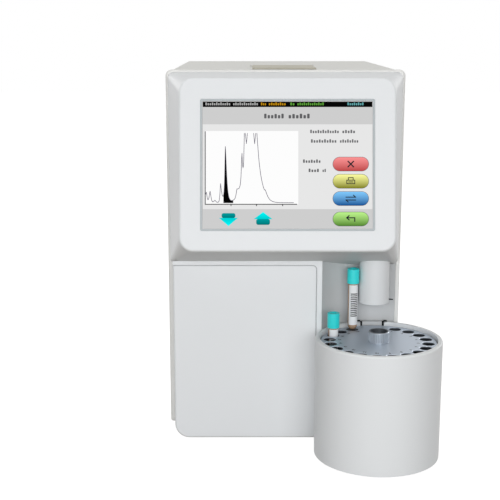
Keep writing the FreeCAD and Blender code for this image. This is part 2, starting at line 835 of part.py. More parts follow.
def make_needle_motor():
    """Hollow stepping motor on the upper lug."""
    half = needle_motor_width / 2
    y = needle_y + rod_setback
    body = block(drum_x - half, drum_x + half, y - half, y + half, bracket_top, bracket_top + needle_motor_height)
    body = body.makeChamfer(3.0, [e for e in body.Edges if abs(e.tangentAt(0).z) > 0.9])
    return body.cut(Part.makeCylinder(screw_radius + 0.5, frame_top, Vector(drum_x, y, 0)))


# Drum that stands in front of the cabinet

def make_drum_shell():
    """Moulded drum wall with a rounded rim, a notch for the rim block and a ledge at the foot."""
    base = Vector(drum_x, drum_y, drum_bottom)
    height = drum_top - drum_bottom
    outside = Part.makeCylinder(drum_radius, height, base)
    rim = [e for e in outside.Edges if abs(e.CenterOfMass.z - drum_top) < 1e-6 and len(e.Vertexes) == 1]
    outside = outside.makeFillet(drum_round, rim)
    bore = drum_radius - drum_wall
    shell = outside.cut(Part.makeCylinder(bore, height, base + Z_AXIS * ledge_height))
    shell = shell.cut(Part.makeCylinder(bore - ledge_width, height, base - Z_AXIS * through))
    half = rim_notch_width / 2
    back = drum_y + alcove_radius
    shell = shell.cut(block(drum_x - half, drum_x + half, drum_y, back, drum_top - rim_notch_depth, drum_top + through))
    half += rim_rebate
    shell = shell.cut(block(drum_x - half, drum_x + half, drum_y, back, drum_top - rim_rebate_depth, drum_top + through))
    half = tongue_width / 2 + fit_gap
    return shell.cut(block(drum_x - half, drum_x + half, drum_y, back, drum_bottom - through, foot_height + fit_gap))


def make_rim_block():
    """Guard block of the alcove wall that fills the notch in the drum's rim."""
    inner = drum_radius - drum_wall + fit_gap
    sector = ring(alcove_radius - fit_gap / 2, inner, drum_top - rim_notch_depth + fit_gap, drum_top)
    half = rim_block_width / 2
    body = sector.common(block(drum_x - half, drum_x + half, drum_y, drum_y + 2 * drum_radius, 0, frame_top))
    return body


def make_drum_base():
    """Floor of the drum with the motor's pedestal and the tongue under the cabinet."""
    plate_bottom = drum_bottom + ledge_height
    plate = Part.makeCylinder(drum_radius - drum_wall - fit_gap, wall, Vector(drum_x, drum_y, plate_bottom))
    half = tongue_width / 2
    tongue = block(drum_x - half, drum_x + half, drum_y + pedestal_radius, tongue_reach, plate_bottom + wall, foot_height)
    skirt = ring(pedestal_radius, pedestal_radius - pedestal_wall, plate_bottom + wall, pedestal_top)
    cap = Part.makeCylinder(pedestal_radius, wall + sheet, Vector(drum_x, drum_y, pedestal_top - wall - sheet))
    base = plate.fuse([tongue, skirt, cap])
    base = base.cut(Part.makeCylinder(bearing_radius, frame_top, Vector(drum_x, drum_y, pedestal_top - wall - sheet)))
    return base.removeSplitter()


# Carousel

def bearing_seat():
    """Lower face of the bearing, on the motor."""
    return pedestal_top - wall - sheet


def make_carousel_motor():
    """Square stepping motor under the pedestal's cap."""
    half = motor_width / 2
    top = bearing_seat()
    body = block(drum_x - half, drum_x + half, drum_y - half, drum_y + half, top - motor_height, top)
    body = body.makeChamfer(4.0, [e for e in body.Edges if abs(e.tangentAt(0).z) > 0.9])
    bore_depth = motor_height / 2
    return body.cut(Part.makeCylinder(motor_shaft_radius + running_gap, bore_depth,
                                      Vector(drum_x, drum_y, top - bore_depth)))


def make_spindle_bearing():
    """Ball bearing in the pedestal's cap."""
    return ring(bearing_radius, spindle_radius + running_gap, bearing_seat(), bearing_seat() + bearing_height)


def make_carousel_spindle():
    """Stepped spindle: motor shaft, bearing seat, collar and the stud for the knob."""
    low = bearing_seat()
    collar = low + bearing_height + fit_gap
    steps = [(motor_shaft_radius, low - motor_height / 2 + 1, low + 0.5),
             (spindle_radius, low + 0.5, tray_top - tray_thickness),
             (spindle_radius + 2, collar, collar + 2),
             (spindle_stud_radius, tray_top - tray_thickness, tray_top + knob_height - knob_recess_depth - 1)]
    shafts = [Part.makeCylinder(r, top - z, Vector(drum_x, drum_y, z)) for r, z, top in steps]
    return shafts[0].fuse(shafts[1:]).removeSplitter()


def make_tube_rack():
    """Rotor that carries the tray: hub, plate with a seat for each tube, and posts."""
    plate_top = seat_plate_bottom + seat_plate_thickness
    low = bearing_seat() + bearing_height + fit_gap + 2
    tray_seat = tray_top - tray_thickness
    hub = Part.makeCylinder(rack_hub_radius, tray_seat - low, Vector(drum_x, drum_y, low))
    plate = Part.makeCylinder(tray_radius - 1, seat_plate_thickness, Vector(drum_x, drum_y, seat_plate_bottom))
    flange = Part.makeCylinder(rack_flange_radius, rack_flange_thickness,
                               Vector(drum_x, drum_y, tray_seat - rack_flange_thickness))
    posts = [Part.makeCylinder(rack_post_radius, tray_seat - plate_top, polar(rack_post_ring, a, plate_top))
             for a in around(rack_post_count)]
    rack = hub.fuse([plate, flange] + posts)
    seats = [Part.makeCylinder(tube_radius + 2 * fit_gap, seat_plate_thickness, polar(hole_ring_radius, a, plate_top - seat_depth))
             for a in hole_angles()]
    rack = rack.cut(Part.makeCompound(seats))
    return rack.cut(Part.makeCylinder(spindle_radius, frame_top, drum_axis)).removeSplitter()


def hole_angles():
    """Directions of the sample places, clockwise from the first."""
    return around(hole_count, first_hole_angle, -hole_pitch)


def make_sample_tray():
    """Polished tray with a countersunk hole for each tube."""
    low = tray_top - tray_thickness
    tray = Part.makeCylinder(tray_radius, tray_thickness, Vector(drum_x, drum_y, low))
    tools = []
    for a in hole_angles():
        tools.append(Part.makeCylinder(hole_radius, tray_thickness, polar(hole_ring_radius, a, low)))
        tools.append(Part.makeCone(hole_radius, hole_radius + hole_countersink, hole_countersink,
                                   polar(hole_ring_radius, a, tray_top - hole_countersink)))
    tray = tray.cut(Part.makeCompound(tools))
    return tray.cut(Part.makeCylinder(spindle_stud_radius + running_gap, tray_thickness, Vector(drum_x, drum_y, low)))


def make_tray_knob():
    """Fluted screw knob with a hollow top that clamps the tray."""
    low = tray_top + 0.1
    knob = Part.makeCylinder(knob_radius, knob_height, Vector(drum_x, drum_y, low))
    rims = [e for e in knob.Edges if len(e.Vertexes) == 1 and abs(e.CenterOfMass.z - low - knob_height) < 1e-6]
    knob = knob.makeChamfer(0.6, rims)
    flutes = [Part.makeCylinder(knob_flute_radius, knob_height - 3, polar(knob_radius + 0.2, a, low + 1.2))
              for a in around(knob_flutes)]
    knob = knob.cut(Part.makeCompound(flutes))
    knob = knob.cut(Part.makeCylinder(knob_recess_radius, knob_recess_depth,
                                      Vector(drum_x, drum_y, low + knob_height - knob_recess_depth)))
    return knob.cut(Part.makeCylinder(spindle_stud_radius + running_gap, knob_height, Vector(drum_x, drum_y, low)))


# Blood tubes

def make_tube(angle, bottom):
    """Round-bottomed blood tube, closed by its cap."""
    at = polar(hole_ring_radius, math.radians(angle), bottom)
    top = tube_length - cap_length + tube_in_cap
    ball = Part.makeSphere(tube_radius, at + Z_AXIS * tube_radius)
    return ball.fuse(Part.makeCylinder(tube_radius, top - tube_radius, at + Z_AXIS * tube_radius)).removeSplitter()


def make_cap(angle, bottom):
    """Ribbed push-on cap with a dished top over the stopper."""
    at = polar(hole_ring_radius, math.radians(angle), bottom + tube_length - cap_length)
    cap = Part.makeCylinder(cap_radius, cap_length, at)
    rims = [e for e in cap.Edges if len(e.Vertexes) == 1]
    cap = cap.makeFillet(0.8, rims)
    cap = cap.cut(Part.makeCylinder(tube_radius + running_gap, tube_in_cap, at))
    return cap.cut(Part.makeCone(cap_dish_radius / 2, cap_dish_radius, cap_dish_depth,
                                 at + Z_AXIS * (cap_length - cap_dish_depth)))


def make_label(angle, bottom):
    """Paper label wrapped round the tube."""
    at = polar(hole_ring_radius, math.radians(angle), 0)
    return ring(tube_radius + label_thickness, tube_radius, bottom + label_start, bottom + label_start + label_length, at)


def standing_tube_bottom():
    """Where a tube stands in its seat."""
    return seat_plate_bottom + seat_plate_thickness - seat_depth


def make_raising_plug():
    """Dark adapter plug that fills a sample place and lifts the tube on it."""
    low = standing_tube_bottom()
    return Part.makeCylinder(tube_radius + 2 * fit_gap, raised_tube_bottom - low - 0.1,
                             polar(hole_ring_radius, math.radians(raised_tube_angle), low))


# Printer

def make_printer_lid():
    """Raised lid with a hinge barrel at the back and ears for the platen in front."""
    half = lid_width / 2
    low = cover_top + lid_lift
    barrel_radius = (lid_top - low) / 2
    axis_y, axis_z = lid_axis()
    lid = slab(-half, half, lid_front, axis_y, [lid_corner, lid_corner, 0.2, 0.2], level(low), Z_AXIS * (lid_top - low))
    top_edges = edges_where(lid, lambda p: abs(p.z - lid_top) < 1e-6 and p.y < axis_y - 2 * barrel_radius)
    lid = lid.makeFillet(0.8, top_edges)
    lid = lid.fuse(Part.makeCylinder(barrel_radius, lid_width, Vector(-half, axis_y, axis_z), X_AXIS))
    py, pz = platen_axis()
    for side in (-1, 1):
        x = side * (paper_width / 2 + platen_ear / 2 + 2 * fit_gap)
        ear = Part.makeCylinder(platen_pin_radius + 2, platen_ear, Vector(x - platen_ear / 2, py, pz), X_AXIS)
        web = block(x - platen_ear / 2, x + platen_ear / 2, py - platen_pin_radius - 2, py + platen_pin_radius + 2, pz, low)
        lid = lid.fuse([ear, web])
        lid = lid.cut(Part.makeCylinder(platen_pin_radius + running_gap, platen_ear, Vector(x - platen_ear / 2, py, pz), X_AXIS))
    lid = lid.cut(Part.makeCylinder(lid_pin_radius + running_gap, 2 * frame_width, Vector(-frame_width, axis_y, axis_z), X_AXIS))
    return lid.removeSplitter()


def lid_axis():
    """Depth and height of the lid's hinge."""
    low = cover_top + lid_lift
    return lid_back - (lid_top - low) / 2, (lid_top + low) / 2


def platen_axis():
    """Depth and height of the platen roller."""
    return lid_front + platen_setback, cover_top - platen_drop + lid_lift


def make_lid_hinge():
    """Two small ears on the cover with the pin that the lid turns on."""
    axis_y, axis_z = lid_axis()
    radius = lid_top - axis_z
    half = lid_width / 2
    pin = Part.makeCylinder(lid_pin_radius, lid_width + 2 * lid_ear_width, Vector(-half - lid_ear_width, axis_y, axis_z), X_AXIS)
    ears = []
    for x in (-half - lid_ear_width, half + fit_gap):
        width = lid_ear_width - fit_gap
        ears.append(Part.makeCylinder(radius, width, Vector(x, axis_y, axis_z), X_AXIS))
        ears.append(block(x, x + width, axis_y - radius, axis_y + radius, cover_top, axis_z))
    return pin.fuse(ears).removeSplitter()


def make_printer_tub():
    """Open moulded bucket under the lid that holds the paper roll."""
    half = lid_width / 2 - lid_margin - fit_gap
    top = cover_top - sheet
    front, back = lid_front + lid_margin + fit_gap, lid_back - lid_margin - fit_gap
    tub = block(-half, half, front, back, top - tub_depth, top)
    flange = block(-half - 4, half + 4, front - 4, back + 4, top - tub_flange, top)
    return tub.fuse(flange).cut(block(-half + tub_wall, half - tub_wall, front + tub_wall, back - tub_wall,
                                      top - tub_depth + tub_wall, top)).removeSplitter()


def make_paper_roll():
    """Roll of thermal paper, resting on the bucket's floor."""
    floor = cover_top - sheet - tub_depth + tub_wall
    y = (lid_front + lid_back) / 2 + platen_setback
    z = floor + paper_radius
    start = Vector(-paper_width / 2, y, z)
    roll = Part.makeCylinder(paper_radius, paper_width, start, X_AXIS)
    roll = roll.cut(Part.makeCylinder(paper_core_radius, paper_width, start, X_AXIS))
    flat = block(-paper_width, paper_width, y - paper_radius, y + paper_radius, floor - paper_radius, floor + 0.1)
    return roll.cut(flat)


def make_print_head():
    """Thermal head and its cross bar behind the platen."""
    py, pz = platen_axis()
    half = lid_width / 2 - lid_margin - fit_gap - tub_wall
    y = py + platen_radius + fit_gap
    head = block(-paper_width / 2, paper_width / 2, y, y + print_head_thickness, pz - print_head_height, pz + platen_radius / 2)
    bar = block(-half, half, y, y + print_head_thickness, pz - print_head_height, pz - print_head_height / 2)
    return head.fuse(bar).removeSplitter()


def make_platen_roller():
    """Rubber platen with its steel pins."""
    py, pz = platen_axis()
    half = paper_width / 2
    reach = half + 2 * fit_gap + platen_ear
    roller = Part.makeCylinder(platen_radius, paper_width, Vector(-half, py, pz), X_AXIS)
    return roller.fuse(Part.makeCylinder(platen_pin_radius, 2 * reach, Vector(-reach, py, pz), X_AXIS)).removeSplitter()


# Service compartment behind the door

def make_compartment():
    """Folded liner that closes the space behind the door and carries its units."""
    front = liner_front + wall
    box = block(compartment_left, compartment_right, front, compartment_back, compartment_bottom, compartment_top)
    inner = block(compartment_left + compartment_wall, compartment_right - compartment_wall, front - through,
                  compartment_back - compartment_wall, compartment_bottom + compartment_wall,
                  compartment_top - compartment_wall)
    return box.cut(inner)


def back_wall():
    """Depth of the compartment's back wall."""
    return compartment_back - compartment_wall


def oven_left():
    """Left side of the column oven."""
    return compartment_right - compartment_wall - oven_right_gap - oven_width


def make_column_oven():
    """Heated block with an upright groove for the column and cooling ribs at its side."""
    x0 = oven_left()
    y0 = back_wall() - oven_depth
    oven = block(x0, x0 + oven_width, y0, back_wall(), oven_bottom, oven_bottom + oven_height)
    oven = oven.makeFillet(2.0, [e for e in oven.Edges if abs(e.tangentAt(0).z) > 0.9])
    groove = Vector(x0 + oven_width / 2, y0 + column_radius, oven_bottom - through)
    oven = oven.cut(Part.makeCylinder(column_end_radius + fit_gap, oven_height + 2 * through, groove))
    return oven.cut(block(groove.x - column_end_radius - fit_gap, groove.x + column_end_radius + fit_gap,
                          y0 - through, groove.y, oven_bottom - through, oven_bottom + oven_height + through))


def make_column():
    """Separation column with a hexagonal fitting at each end."""
    x = oven_left() + oven_width / 2
    y = back_wall() - oven_depth + column_radius
    low = oven_bottom + (oven_height - column_length) / 2
    column = Part.makeCylinder(column_radius, column_length, Vector(x, y, low))
    for z in (low - column_end_length, low + column_length):
        corners = [Vector(x + column_end_radius * math.cos(a), y + column_end_radius * math.sin(a), z) for a in around(6)]
        nut = Part.Face(Part.makePolygon(corners + corners[:1])).extrude(Z_AXIS * column_end_length)
        column = column.fuse(nut)
    return column.removeSplitter()


def make_injection_valve():
    """Rotary injection valve with a ring of tube ports."""
    y0 = back_wall() - valve_depth
    body = Part.makeCylinder(valve_radius, valve_depth, Vector(valve_x, y0, valve_z), Y_AXIS)
    groove = y0 + valve_groove_start
    body = body.cut(ring_along_y(valve_radius + through, valve_radius - valve_groove_depth,
                                 groove, groove + valve_groove_width, valve_x, valve_z))
    ports = []
    for a in around(valve_ports, 180 / valve_ports):
        at = Vector(valve_x + valve_port_ring * math.cos(a), y0 - valve_port_length, valve_z + valve_port_ring * math.sin(a))
        ports.append(Part.makeCylinder(valve_port_radius, valve_port_length, at, Y_AXIS))
    return body.fuse(ports).removeSplitter()


def ring_along_y(outer, inner, y0, y1, x, z):
    """A tube whose axis runs front to back."""
    tube = Part.makeCylinder(outer, y1 - y0, Vector(x, y0, z), Y_AXIS)
    return tube.cut(Part.makeCylinder(inner, y1 - y0, Vector(x, y0, z), Y_AXIS))


def purge_place():
    """Centre of the purge valve on the pump's front."""
    return pump_left + pump_width / 2, pump_bottom + pump_height / 2


def pump_front():
    """Depth of the front of the pump's round head."""
    return back_wall() - pump_depth - pump_head_depth


def make_pump_unit():
    """Pump block with two check valves and the seat of the purge valve."""
    y0 = back_wall() - pump_depth
    x, z = purge_place()
    body = block(pump_left, pump_left + pump_width, y0, back_wall(), pump_bottom, pump_bottom + pump_height)
    body = body.makeFillet(pump_round, [e for e in body.Edges if abs(e.tangentAt(0).y) > 0.9])
    start = Vector(x, pump_front(), z)
    pieces = [Part.makeCylinder(pump_width / 2 - pump_head_border, pump_head_depth, start, Y_AXIS)]
    for side in (-1, 1):
        at = Vector(x, y0 + pump_depth / 3, z + side * pump_height / 2)
        pieces.append(Part.makeCylinder(check_valve_radius, check_valve_height, at, Z_AXIS * side))
    seat = Part.makeCylinder(purge_stem_radius + running_gap, purge_stem_length + pump_head_border, start, Y_AXIS)
    return body.fuse(pieces).cut(seat)


def make_purge_knob():
    """Lobed knob of the purge valve, on its stem."""
    x, z = purge_place()
    back = pump_front() - fit_gap
    front = back - purge_knob_length
    knob = Part.makeCylinder(purge_knob_radius, purge_knob_length, Vector(x, front, z), Y_AXIS)
    notches = []
    ring_radius = purge_knob_radius + purge_lobe_radius / 2
    for a in around(purge_lobes):
        at = Vector(x + ring_radius * math.cos(a), front, z + ring_radius * math.sin(a))
        notches.append(Part.makeCylinder(purge_lobe_radius, purge_knob_length, at, Y_AXIS))
    knob = knob.cut(Part.makeCompound(notches))
    stem = Part.makeCylinder(purge_stem_radius, purge_stem_length, Vector(x, back - through, z), Y_AXIS)
    return knob.fuse(stem).removeSplitter()


def make_drip_tray():
    """Shallow tray that catches leaks on the compartment's floor."""
    x0, x1 = compartment_left + compartment_wall + drip_tray_margin, compartment_right - compartment_wall - drip_tray_margin
    y0 = liner_front + 2 * wall
    low = compartment_bottom + compartment_wall
    tray = block(x0, x1, y0, y0 + drip_tray_depth, low, low + drip_tray_height)
    tray = tray.makeFillet(4.0, [e for e in tray.Edges if abs(e.tangentAt(0).z) > 0.9])
    return tray.cut(block(x0 + sheet, x1 - sheet, y0 + sheet, y0 + drip_tray_depth - sheet, low + sheet,
                          low + drip_tray_height))


# Back of the cabinet

def fan_front():
    """Inner face of the fan, towards the cabinet's inside."""
    return rear_y - fan_depth


def make_fan_frame():
    """Square fan housing with a round throat, four struts and screw holes."""
    half = fan_width / 2
    y0 = fan_front()
    body = slab(fan_x - half, fan_x + half, fan_z - half, fan_z + half, [fan_corner] * 4, upright(y0), Y_AXIS * fan_depth)
    body = body.cut(Part.makeCylinder(fan_bore, fan_depth, Vector(fan_x, y0, fan_z), Y_AXIS))
    struts = []
    for a in around(4, 45):
        strut = block(fan_x, fan_x + fan_bore + through, y0, y0 + fan_strut_thickness,
                      fan_z - fan_strut_width / 2, fan_z + fan_strut_width / 2)
        strut.rotate(Vector(fan_x, 0, fan_z), Y_AXIS, math.degrees(a))
        struts.append(strut)
    middle = Vector(fan_x, y0, fan_z)
    mount = Part.makeCylinder(fan_hub_radius, fan_strut_thickness, middle, Y_AXIS)
    body = body.fuse(struts + [mount])
    offset = half - fan_screw_inset
    holes = [Part.makeCylinder(fan_screw_radius, fan_depth, Vector(fan_x + sx * offset, y0, fan_z + sz * offset), Y_AXIS)
             for sx in (-1, 1) for sz in (-1, 1)]
    holes.append(Part.makeCylinder(fan_pin_radius + running_gap, fan_strut_thickness, middle, Y_AXIS))
    return body.cut(Part.makeCompound(holes)).removeSplitter()


def make_fan_rotor():
    """Fan rotor: hub, pin and twisted blades."""
    y0 = fan_front() + fan_strut_thickness + fit_gap
    depth = fan_depth - 2 * fan_strut_thickness
    middle = y0 + depth / 2
    hub = Part.makeCylinder(fan_hub_radius, depth, Vector(fan_x, y0, fan_z), Y_AXIS)
    pin = Part.makeCylinder(fan_pin_radius, fan_strut_thickness + fit_gap, Vector(fan_x, fan_front(), fan_z), Y_AXIS)
    sweep = ring_along_y(fan_bore - fan_tip_gap, fan_hub_radius - through, y0, y0 + depth, fan_x, fan_z)
    blades = []
    for a in around(fan_blades):
        blade = block(fan_x, fan_x + fan_bore, middle - fan_blade_thickness / 2, middle + fan_blade_thickness / 2,
                      fan_z - depth, fan_z + depth)
        blade.rotate(Vector(fan_x, middle, fan_z), X_AXIS, fan_blade_twist)
        slice_y = block(fan_x, fan_x + fan_bore, y0, y0 + depth, fan_z - depth / 1.6, fan_z + depth / 1.6)
        blade = blade.common(slice_y)
        blade.rotate(Vector(fan_x, 0, fan_z), Y_AXIS, math.degrees(a))
        blades.append(blade.common(sweep))
    return hub.fuse([pin] + blades).removeSplitter()


def make_fan_guard():
    """Finger guard stamped from sheet: rings on two crossed arms, with a round ear at each screw."""
    centre = Vector(fan_x, cabinet_back, fan_z)
    offset = fan_width / 2 - fan_screw_inset
    reach = offset * math.sqrt(2)
    guard = None
    for turn in (45, 135):
        arm = block(fan_x - reach, fan_x + reach, cabinet_back, cabinet_back + guard_thickness,
                    fan_z - guard_arm_width / 2, fan_z + guard_arm_width / 2)
        arm.rotate(centre, Y_AXIS, turn)
        guard = arm if guard is None else guard.fuse(arm)
    for i in range(guard_rings):
        outer = fan_bore / guard_rings * (i + 1)
        guard = guard.fuse(ring_along_y(outer, outer - guard_ring_width, cabinet_back,
                                        cabinet_back + guard_thickness, fan_x, fan_z))
    for sx in (-1, 1):
        for sz in (-1, 1):
            at = Vector(fan_x + sx * offset, cabinet_back, fan_z + sz * offset)
            guard = guard.fuse(Part.makeCylinder(guard_ear_radius, guard_thickness, at, Y_AXIS))
    return guard.removeSplitter()


def rear_unit(x, z, width, height, border, thickness, body_depth):
    """A panel unit: a flange outside the rear panel and a body through it."""
    half_w, half_h = width / 2, height / 2
    flange = slab(x - half_w - border, x + half_w + border, z - half_h - border, z + half_h + border,
                  [2.0] * 4, upright(cabinet_back), Y_AXIS * thickness)
    return flange.fuse(block(x - half_w, x + half_w, cabinet_back - body_depth, cabinet_back, z - half_h, z + half_h))


def make_power_inlet():
    """Mains inlet with three flat pins in its socket."""
    body = rear_unit(inlet_x, inlet_z, inlet_width, inlet_height, inlet_border, inlet_flange, inlet_body_depth)
    face = cabinet_back + inlet_flange
    half_w, half_h = socket_width / 2, socket_height / 2
    body = body.cut(slab(inlet_x - half_w, inlet_x + half_w, inlet_z - half_h, inlet_z + half_h, [1.0, 1.0, 4.0, 4.0],
                         upright(face - socket_depth), Y_AXIS * socket_depth))
    pins = []
    for dx, dz in ((-7.0, 2.0), (0.0, -2.0), (7.0, 2.0)):
        pins.append(block(inlet_x + dx - pin_width / 2, inlet_x + dx + pin_width / 2, face - socket_depth, face - pin_recess,
                          inlet_z + dz - pin_height / 2, inlet_z + dz + pin_height / 2))
    return body.fuse(pins).removeSplitter()


def rocker_axis():
    """Depth of the rocker's pivot."""
    return cabinet_back - 1.0


def make_switch_frame():
    """Frame of the power switch with the well that the rocker sits in."""
    body = rear_unit(inlet_x, switch_z, switch_width, switch_height, 2.0, 2.0, 16.0)
    half_w, half_h = rocker_width / 2 + fit_gap, rocker_height / 2 + 2 * fit_gap
    well = block(inlet_x - half_w, inlet_x + half_w, cabinet_back - 12, cabinet_back + 4, switch_z - half_h, switch_z + half_h)
    body = body.cut(well)
    return body.cut(Part.makeCylinder(1.0 + running_gap, switch_width, Vector(inlet_x - switch_width / 2, rocker_axis(), switch_z), X_AXIS))


def make_power_rocker():
    """Rocker with two sloping wings and its pivot pin, resting in the off position."""
    y = rocker_axis()
    half_w, half_h = rocker_width / 2, rocker_height / 2
    lift = math.tan(math.radians(rocker_tilt))
    points = [(y + 4.0, 0), (y + 4.0 + lift * half_h, half_h - 0.6), (y - 2.5, half_h - 1.2), (y - 4.5, 0),
              (y - 2.5, -half_h + 1.2), (y + 4.0 + lift * half_h, -half_h + 0.6)]
    corners = [Vector(inlet_x - half_w, py, switch_z + pz) for py, pz in points]
    rocker = Part.Face(Part.makePolygon(corners + corners[:1])).extrude(X_AXIS * rocker_width)
    pin = Part.makeCylinder(1.0, switch_width - 2, Vector(inlet_x - switch_width / 2 + 1, y, switch_z), X_AXIS)
    rocker = rocker.fuse(pin).removeSplitter()
    rocker.rotate(Vector(inlet_x, y, switch_z), X_AXIS, rocker_tilt)
    return rocker


def make_serial_port():
    """Nine-way connector shell on its flange."""
    body = rear_unit(serial_x, port_z, serial_width, serial_height, sheet, sheet, shell_reach + 4.0)
    half_w, half_h = shell_width / 2, shell_height / 2
    edge = fit_gap + through / 5
    shell = slab(serial_x - half_w, serial_x + half_w, port_z - half_h, port_z + half_h, [1.5, 1.5, 2.5, 2.5],
                 upright(cabinet_back), Y_AXIS * shell_reach)
    hollow = slab(serial_x - half_w + edge, serial_x + half_w - edge, port_z - half_h + edge, port_z + half_h - edge,
                  [1.0, 1.0, 2.0, 2.0], upright(cabinet_back + sheet + edge), Y_AXIS * shell_reach)
    return body.fuse(shell).cut(hollow).removeSplitter()


def make_network_port():
    """Square network socket."""
    body = rear_unit(network_x, port_z, network_width, network_height, 1.0, 1.0, 14.0)
    return body.cut(block(network_x - 6.0, network_x + 6.0, cabinet_back - 10.0, cabinet_back + 2.0, port_z - 5.0, port_z + 4.0))


def make_reagent_fittings():
    """Barbed tube fittings for buffer and waste."""
    fittings = []
    for i in range(reagent_count):
        x = reagent_x + i * reagent_pitch
        at = Vector(x, rear_y, reagent_z)
        nut_radius = reagent_stem_radius + reagent_nut_rim
        stem = Part.makeCylinder(reagent_stem_radius - fit_gap / 3, sheet, at, Y_AXIS)
        nut = Part.makeCylinder(nut_radius, reagent_nut_height, Vector(x, cabinet_back, reagent_z), Y_AXIS)
        inside = Part.makeCylinder(nut_radius, reagent_nut_height,
                                   Vector(x, rear_y - reagent_nut_height, reagent_z), Y_AXIS)
        barb = Part.makeCone(3.6, 2.6, fitting_reach - 4.0, Vector(x, cabinet_back + 4.0, reagent_z), Y_AXIS)
        fitting = stem.fuse([nut, inside, barb])
        fitting = fitting.cut(Part.makeCylinder(1.5, 2 * fitting_reach, Vector(x, rear_y, reagent_z), Y_AXIS))
        fittings.append(fitting.removeSplitter())
    return Part.makeCompound(fittings)


# Inside the cabinet

def make_shelf():
    """Sheet shelf between the cabinet's sides, with a slot where the bracket's foot stands."""
    half = cover_half - sheet - fit_gap
    shelf = block(-half, half, shelf_front + fit_gap, shelf_back, shelf_z - sheet, shelf_z)
    for side in (-1, 1):
        x0, x1 = sorted((side * half, side * (half - sheet)))
        shelf = shelf.fuse(block(x0, x1, shelf_front + fit_gap, shelf_back, shelf_z - 10 * sheet, shelf_z))
    return shelf.removeSplitter()


def make_power_supply():
    """Switched power supply in a folded case."""
    x0, y0 = supply_x - supply_width / 2, supply_y - supply_length / 2
    low = foot_height + sheet
    case = block(x0, x0 + supply_width, y0, y0 + supply_length, low, low + supply_height)
    terminal = block(x0 + terminal_inset, x0 + supply_width - terminal_inset, y0 - terminal_depth, y0,
                     low, low + terminal_height)
    return case.fuse(terminal).removeSplitter()


def make_main_board():
    """Control board on standoffs with its larger parts."""
    z = shelf_z + standoff_height
    x0, y0 = -board_width / 2, board_y - board_length / 2
    board = block(x0, -x0, y0, y0 + board_length, z, z + board_thickness)
    pieces = []
    for x in (x0 + standoff_inset, -x0 - standoff_inset):
        for y in (y0 + standoff_inset, y0 + board_length - standoff_inset):
            pieces.append(Part.makeCylinder(standoff_radius, standoff_height, Vector(x, y, shelf_z)))
    top = z + board_thickness
    for x, y, wide, long, high in board_parts:
        x, y = x * board_width, board_y + y * board_length
        pieces.append(block(x - wide / 2, x + wide / 2, y - long / 2, y + long / 2, top, top + high))
    return board.fuse(pieces).removeSplitter()


parts = {
    "chassis_frame": make_chassis_frame(),
    "chassis_cover": make_chassis_cover(),
    "base_pan": make_base_pan(),
    "rear_panel": make_rear_panel(),
    "rubber_feet": make_rubber_feet(),
    "head_shell": make_head_shell(),
    "front_panel": make_front_panel(),
    "door": make_door(),
    "door_hinges": make_door_hinges(),
    "door_catch": make_door_catch(),
    "screen_rim": make_screen_rim(),
    "touch_glass": make_touch_glass(),
    "display_module": make_display_module(),
    "needle_guard": make_needle_guard(),
    "needle_bracket": make_needle_bracket(),
    "guide_rods": make_guide_rods(),
    "needle_carriage": make_needle_carriage(),
    "sampling_needle": make_sampling_needle(),
    "lead_screw": make_lead_screw(),
    "needle_motor": make_needle_motor(),
    "drum_shell": make_drum_shell(),
    "rim_block": make_rim_block(),
    "drum_base": make_drum_base(),
    "carousel_motor": make_carousel_motor(),
    "spindle_bearing": make_spindle_bearing(),
    "carousel_spindle": make_carousel_spindle(),
    "tube_rack": make_tube_rack(),
    "sample_tray": make_sample_tray(),
    "tray_knob": make_tray_knob(),
    "standing_tube": make_tube(standing_tube_angle, standing_tube_bottom()),
    "standing_cap": make_cap(standing_tube_angle, standing_tube_bottom()),
    "standing_label": make_label(standing_tube_angle, standing_tube_bottom()),
    "raised_tube": make_tube(raised_tube_angle, raised_tube_bottom),
    "raised_cap": make_cap(raised_tube_angle, raised_tube_bottom),
    "raised_label": make_label(raised_tube_angle, raised_tube_bottom),
    "raising_plug": make_raising_plug(),
    "printer_lid": make_printer_lid(),
    "lid_hinge": make_lid_hinge(),
    "printer_tub": make_printer_tub(),
    "paper_roll": make_paper_roll(),
    "print_head": make_print_head(),
    "platen_roller": make_platen_roller(),
    "compartment": make_compartment(),
    "column_oven": make_column_oven(),
    "column": make_column(),
    "injection_valve": make_injection_valve(),
    "pump_unit": make_pump_unit(),
    "purge_knob": make_purge_knob(),
    "drip_tray": make_drip_tray(),
    "fan_frame": make_fan_frame(),
    "fan_rotor": make_fan_rotor(),
    "fan_guard": make_fan_guard(),
    "power_inlet": make_power_inlet(),
    "switch_frame": make_switch_frame(),
    "power_rocker": make_power_rocker(),
    "data_ports": Part.makeCompound([make_serial_port(), make_network_port()]),
    "reagent_fittings": make_reagent_fittings(),
    "shelf": make_shelf(),
    "power_supply": make_power_supply(),
    "main_board": make_main_board(),
}

# Origin at the middle of the footprint, on the table
middle_x = (drum_x + drum_radius - half_frame) / 2
middle_y = (drum_y - drum_radius + cabinet_back + fitting_reach) / 2

os.makedirs("parts", exist_ok=True)
for name, shape in parts.items():
    shape.translate(Vector(-middle_x, -middle_y, 0))
    shape.exportStep("parts/" + name + ".step")
    if not shape.isValid():
        print("not valid:", name)
print(len(parts), "parts")
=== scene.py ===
"""A bench-top blood analyzer: finishes for its fixed solids, its lit screen and its small trim.

Lengths are metres in the solids' own frame: X to the right, Y away from the operator, Z up.
"""

import math

